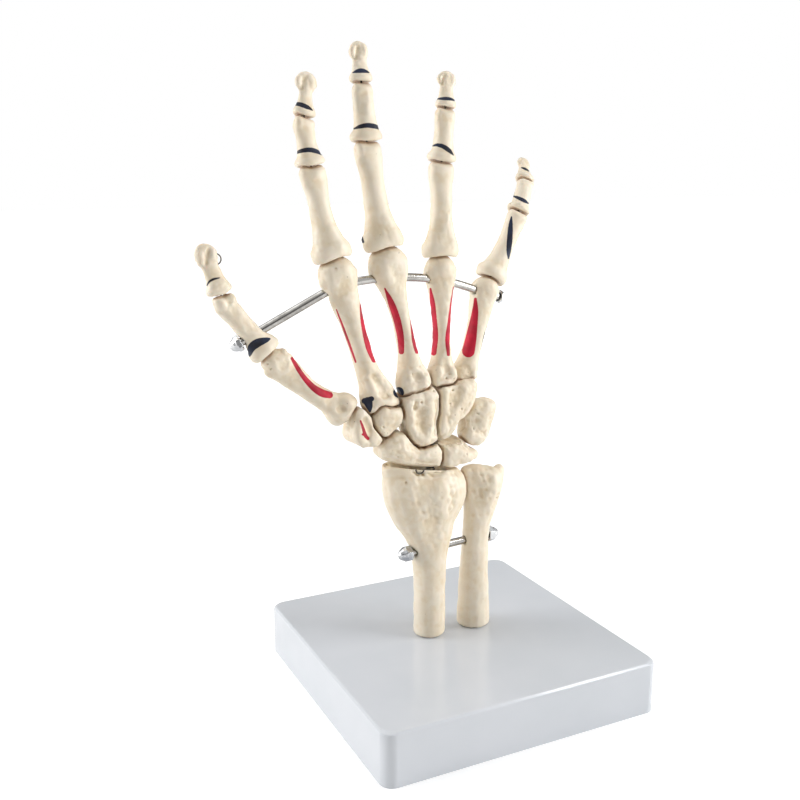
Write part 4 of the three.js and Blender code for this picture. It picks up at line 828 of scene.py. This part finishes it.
def paint_marks(node, mesh, shape):
    """Stores how far each point is from the node's red and blue marks, in millimetres."""
    points = vertex_table(mesh)
    places = in_picture(points)
    turned_away = np.maximum(0.15 - towards_camera(mesh), 0) / MM_PER_TURN
    points /= MM
    tree = tree_of(points)
    for colour in ("red", "blue"):
        away = np.full(len(points), FAR_AWAY)
        for tone, stroke in MARKS.get(node, []):
            if tone == colour:
                away = np.minimum(away, stroke_distance(places, smooth_line(stroke)) * PIXEL + turned_away)
        for tone, rows in PALM_MARKS.get(node, []):
            if tone == colour:
                line = smooth_line([(*points[shape.place(*row[:3])], row[3]) for row in rows])
                for row in line:
                    row[:3] = tree.find(row[:3])[0]
                away = np.minimum(away, stroke_distance(points, line))
        set_attribute(mesh, colour + "_paint", away)


def bone_piece(node, kind):
    voxel, rounds, swell, uneven, rugged = BONE_KINDS[kind]
    piece = copied_node(node, "bone_" + node)
    if kind in LONG_BONE_TOUCHES:
        in_edit_mode(piece, bpy.ops.mesh.tris_convert_to_quads)
        apply_modifier(piece, "SUBSURF", levels=2, render_levels=2)
    apply_modifier(piece, "REMESH", mode="VOXEL", voxel_size=voxel * MM)
    apply_modifier(piece, "SMOOTH", factor=0.5, iterations=rounds)
    mesh = piece.data
    if kind in PROFILES:
        reshape(mesh, kind)
    points = vertex_table(mesh)
    shape = BoneShape(points)
    touches = LONG_BONE_TOUCHES.get(kind, []) + HIDDEN_TOUCHES.get(node, [])
    touches = [(shape.place(*touch[:3]), *touch[3:]) for touch in touches]
    sculpt(mesh, touches)
    carve_seen(mesh, RELIEF.get(node, []))
    apply_modifier(piece, "DISPLACE", mid_level=0.0, strength=swell * MM)
    for texture, strength in ((UNEVEN, uneven), (RUGGED, rugged)):
        apply_modifier(
            piece, "DISPLACE", texture=texture, texture_coords="LOCAL", strength=strength * MM, mid_level=0.5,
        )
    mesh = piece.data
    shape = BoneShape(vertex_table(mesh))
    # The hollow measure drives painted shade in hollows and a painted highlight on ridges in the bone
    # material
    set_attribute(mesh, "hollow", np.clip(hollowness(mesh, 8) / (HOLLOW_STEP * MM), -1.5, 1.5))
    share = (shape.local[:, 0] - shape.low[0]) / (shape.high[0] - shape.low[0])
    ends = np.maximum(np.clip((0.24 - share) / 0.12, 0, 1), np.clip((share - 0.8) / 0.12, 0, 1))
    set_attribute(mesh, "porous", np.ones(len(share)) if kind == "carpal" else ends)
    paint_marks(node, mesh, shape)
    return finish_piece(piece, BONE, BODY_OF[node], "bone_plastic", node)


SINK = 0.42           # a bone's surface draws back this many millimetres where it meets the next bone


def shade_seams(pieces, reach=2.2):
    """Draws each bone back where the next bone is near, and stores how near that is, in millimetres."""
    tables = [vertex_table(piece.data) / MM for piece in pieces]
    for piece, points in zip(pieces, tables):
        low, high = points.min(0) - reach, points.max(0) + reach
        others = [
            other[((other > low) & (other < high)).all(1)] for other in tables if other is not points
        ]
        others = np.vstack(others)
        nearest = np.full(len(points), FAR_AWAY)
        if len(others):
            tree = tree_of(others)
            low, high = others.min(0) - reach, others.max(0) + reach
            for index in np.flatnonzero(((points > low) & (points < high)).all(1)):
                nearest[index] = tree.find(points[index])[2]
        # This nearness drives painted shade in the seams in the bone material
        set_attribute(piece.data, "near", nearest)
        share = np.clip(1 - nearest / reach, 0, 1)
        back = vertex_table(piece.data, "vertex_normals", "vector") * share[:, None]
        write_vertices(piece.data, (points - back * SINK) * MM)


UNEVEN = bpy.data.textures.new("uneven", "CLOUDS")
UNEVEN.noise_scale = 0.0075
UNEVEN.noise_depth = 2
RUGGED = bpy.data.textures.new("rugged", "CLOUDS")
RUGGED.noise_scale = 0.0022
RUGGED.noise_depth = 3
CARPAL_NAMES = (
    "scaphoid", "lunate", "triquetrum", "pisiform", "trapezium", "trapezoid", "capitate", "hamate",
)
BODY_OF = {node: body for body, nodes in frame["record"]["behaviour"]["bodies"].items() for node in nodes}

bones = []
for finger in ("thumb", "index", "middle", "ring", "little"):
    bones.append(bone_piece(f"{finger}_metacarpal", "metacarpal"))
    bones.append(bone_piece(f"{finger}_proximal", "phalanx"))
    if finger != "thumb":
        bones.append(bone_piece(f"{finger}_middle", "phalanx"))
    bones.append(bone_piece(f"{finger}_distal", "tip"))
bones += [bone_piece(name, "carpal") for name in CARPAL_NAMES]
bones += [bone_piece(name, "forearm") for name in ("radius", "ulna")]
shade_seams(bones)


# Rods, nuts and wires

# Rods and wires: the number of sides that the solid has, and its radius in millimetres
ROUND_PARTS = {
    "knuckle_rod": (8, 1.9), "forearm_rod": (12, 1.9), "wrist_hook": (6, 0.4), "thumb_wire_loop": (6, 0.32),
    "wrist_spring": (6, 0.425),
}
NUT_VOXEL, NUT_ROUNDS = 0.12, 9                       # millimetres, and rounds of smoothing
BASE_EDGE, COVER_EDGE, SCREW_EDGE = 0.5, 0.3, 0.12    # width of a broken edge, in millimetres
FLAT_ANGLE, EDGE_ANGLE, SMOOTH_ANGLE = 2, 28, 44      # degrees between faces


def round_piece(node):
    """A drawn rod or wire: its sides become round and keep the radius."""
    sides, radius = ROUND_PARTS[node]
    piece = copied_node(node, "round_" + node)
    in_edit_mode(piece, bpy.ops.mesh.tris_convert_to_quads)
    apply_modifier(piece, "SUBSURF", levels=2, render_levels=2)
    lost = radius * (1 - (2 + math.cos(2 * math.pi / sides)) / 3)
    apply_modifier(piece, "DISPLACE", mid_level=0.0, strength=lost * MM)
    return piece


def soft_edged(node, material, slot, width):
    """A moulded or turned part: its edges are broken by a small round."""
    piece = copied_node(node, "edged_" + node)
    in_edit_mode(piece, lambda: bpy.ops.mesh.dissolve_limited(angle_limit=math.radians(FLAT_ANGLE)))
    apply_modifier(
        piece, "BEVEL", width=width * MM, segments=3, limit_method="ANGLE",
        angle_limit=math.radians(EDGE_ANGLE), miter_outer="MITER_ARC", use_clamp_overlap=True,
    )
    finish_piece(piece, material, BODY_OF[node], slot, node, smooth_angle=SMOOTH_ANGLE)
    apply_modifier(piece, "WEIGHTED_NORMAL", keep_sharp=True)
    return piece


def polished_nut(node):
    """A cap nut: its corners and dome are rubbed round."""
    piece = copied_node(node, "polished_" + node)
    apply_modifier(piece, "REMESH", mode="VOXEL", voxel_size=NUT_VOXEL * MM)
    apply_modifier(piece, "SMOOTH", factor=0.5, iterations=NUT_ROUNDS)
    return finish_piece(piece, NUT, BODY_OF[node], "polished_nut", node)


for node in ("knuckle_rod", "forearm_rod"):
    finish_piece(round_piece(node), STEEL, BODY_OF[node], "rod_steel", node)
for node in ("wrist_hook", "thumb_wire_loop"):
    finish_piece(round_piece(node), WIRE, BODY_OF[node], "wire_steel", node)
for node in ("forearm_nut_left", "forearm_nut_right", "knuckle_nut_thumb", "knuckle_nut_little"):
    polished_nut(node)

# The wrist spring is cut at its middle into a lower and an upper half
SPRING_LOW, SPRING_MIDDLE, SPRING_HIGH = 0.1055, 0.109, 0.116
for name, away, lower, upper, start, end in (
    ("spring_lower", False, "stand", "wrist_core", SPRING_LOW, SPRING_MIDDLE),
    ("spring_upper", True, "wrist_core", "hand", SPRING_MIDDLE, SPRING_HIGH),
):
    spring = round_piece("wrist_spring")
    spring.name = name
    in_edit_mode(spring, lambda: bpy.ops.mesh.bisect(
        plane_co=(0, 0, SPRING_MIDDLE), plane_no=(0, 0, 1), use_fill=True,
        clear_inner=away, clear_outer=not away,
    ))
    centre = vertex_table(spring.data).mean(0)
    spring.data.materials.clear()
    spring.data.materials.append(WIRE)
    select_only(spring)
    bpy.ops.object.shade_smooth()
    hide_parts("wrist_spring")
    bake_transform(spring)

soft_edged("base_shell", BASE, "base_plastic", BASE_EDGE)
soft_edged("base_cover", COVER, "cover_plastic", COVER_EDGE)
for node in frame["nodes"]:
    if "screw" in node:
        soft_edged(node, STEEL, "screw_steel", SCREW_EDGE)

for node, obj in frame["nodes"].items():
    if node.endswith("_wire"):
        obj.data.materials.clear()
        obj.data.materials.append(WIRE)


# Floor and light

# Lamps: place, the point that it shines at and its two sides in metres, and its power in watts
LAMPS = {
    "left_softbox": ((-0.92, 0.42, 0.4), (-0.02, 0, 0.15), (0.6, 0.8), 7),
    "right_softbox": ((0.97, -0.5, 0.36), (0, 0, 0.13), (0.6, 0.8), 9.9),
    "top_softbox": ((-0.1, 0.3, 1.1), (0, 0, 0.1), (0.9, 0.9), 2.7),
    "edge_glint": ((0.57, -0.55, 0.72), (0, 0, 0.05), (0.1, 0.1), 0.9),
}
FLOOR_SIZE = 12
FLOOR_GREY = (0.86, 0.86, 0.86, 1)
WHITE = (1, 1, 1, 1)
ACROSS_ROOM = (0.87, -0.49, 0)               # towards the side walls
ROOM_LIGHT, WALL_LIGHT = 0.3, 0.2            # what the room gives, and what a wall adds
ROOM_MIRRORED, WALL_MIRRORED = 0.14, 0.75    # the same as gloss shows it


def area_light(name, place, target, size, power):
    light = bpy.data.lights.new(name, "AREA")
    light.shape = "RECTANGLE"
    light.size, light.size_y = size
    light.energy = power
    lamp = bpy.data.objects.new(name, light)
    scene.collection.objects.link(lamp)
    lamp.location = place
    lamp.rotation_euler = (Vector(target) - Vector(place)).to_track_quat("-Z", "Y").to_euler()


for name, facts in LAMPS.items():
    area_light(name, *facts)

bpy.ops.mesh.primitive_plane_add(size=FLOOR_SIZE, location=(0, 0, 0))
floor = bpy.context.object
floor.name = "floor"
floor_material = bpy.data.materials.new("white_floor")
floor_material.use_nodes = True
floor_tree = floor_material.node_tree
floor_tree.nodes.clear()
matte = put(floor_tree, "ShaderNodeBsdfDiffuse", {"Color": FLOOR_GREY})
rays = put(floor_tree, "ShaderNodeLightPath")
seen = math_node(floor_tree, "MAXIMUM", rays.outputs["Is Camera Ray"], rays.outputs["Is Glossy Ray"])
place = object_place(floor_tree)
far = put(floor_tree, "ShaderNodeVectorMath", {0: place}, operation="LENGTH").outputs["Value"]
glow_strength = math_node(floor_tree, "MULTIPLY", seen, ramp(floor_tree, far, 0.2, 1.2, 0.3, 0.75))
glow = put(floor_tree, "ShaderNodeEmission", {"Color": WHITE, "Strength": glow_strength})
both = put(floor_tree, "ShaderNodeAddShader", {0: matte.outputs[0], 1: glow.outputs[0]})
put(floor_tree, "ShaderNodeOutputMaterial", {"Surface": both.outputs[0]})
floor.data.materials.append(floor_material)

# A pale room with bright side walls and ceiling; it is white where it is seen
world = bpy.data.worlds.new("pale_room")
scene.world = world
world.use_nodes = True
sky = world.node_tree
sky.nodes.clear()
rays = put(sky, "ShaderNodeLightPath")
seen = math_node(sky, "MAXIMUM", rays.outputs["Is Camera Ray"], rays.outputs["Is Transmission Ray"])
towards = put(sky, "ShaderNodeTexCoord").outputs["Generated"]
sideways = put(sky, "ShaderNodeVectorMath", {0: towards, 1: ACROSS_ROOM}, operation="DOT_PRODUCT")
aside = math_node(sky, "ABSOLUTE", sideways.outputs["Value"])
upwards = put(sky, "ShaderNodeSeparateXYZ", {0: towards}).outputs["Z"]
wall = math_node(sky, "MAXIMUM", ramp(sky, aside, 0.35, 0.8), ramp(sky, upwards, 0.4, 0.85))
room_light = math_node(sky, "MULTIPLY_ADD", wall, WALL_LIGHT)
room_light.node.inputs[2].default_value = ROOM_LIGHT
shiny_light = math_node(sky, "MULTIPLY_ADD", wall, WALL_MIRRORED)
shiny_light.node.inputs[2].default_value = ROOM_MIRRORED
glossy = rays.outputs["Is Glossy Ray"]
strength = put(sky, "ShaderNodeMix", {0: glossy, 2: room_light, 3: shiny_light}).outputs[0]
strength = put(sky, "ShaderNodeMix", {0: seen, 2: strength, 3: 1.0}).outputs[0]
room = put(sky, "ShaderNodeBackground", {"Color": WHITE, "Strength": strength})
put(sky, "ShaderNodeOutputWorld", {"Surface": room.outputs[0]})

scene.view_settings.view_transform = "Standard"
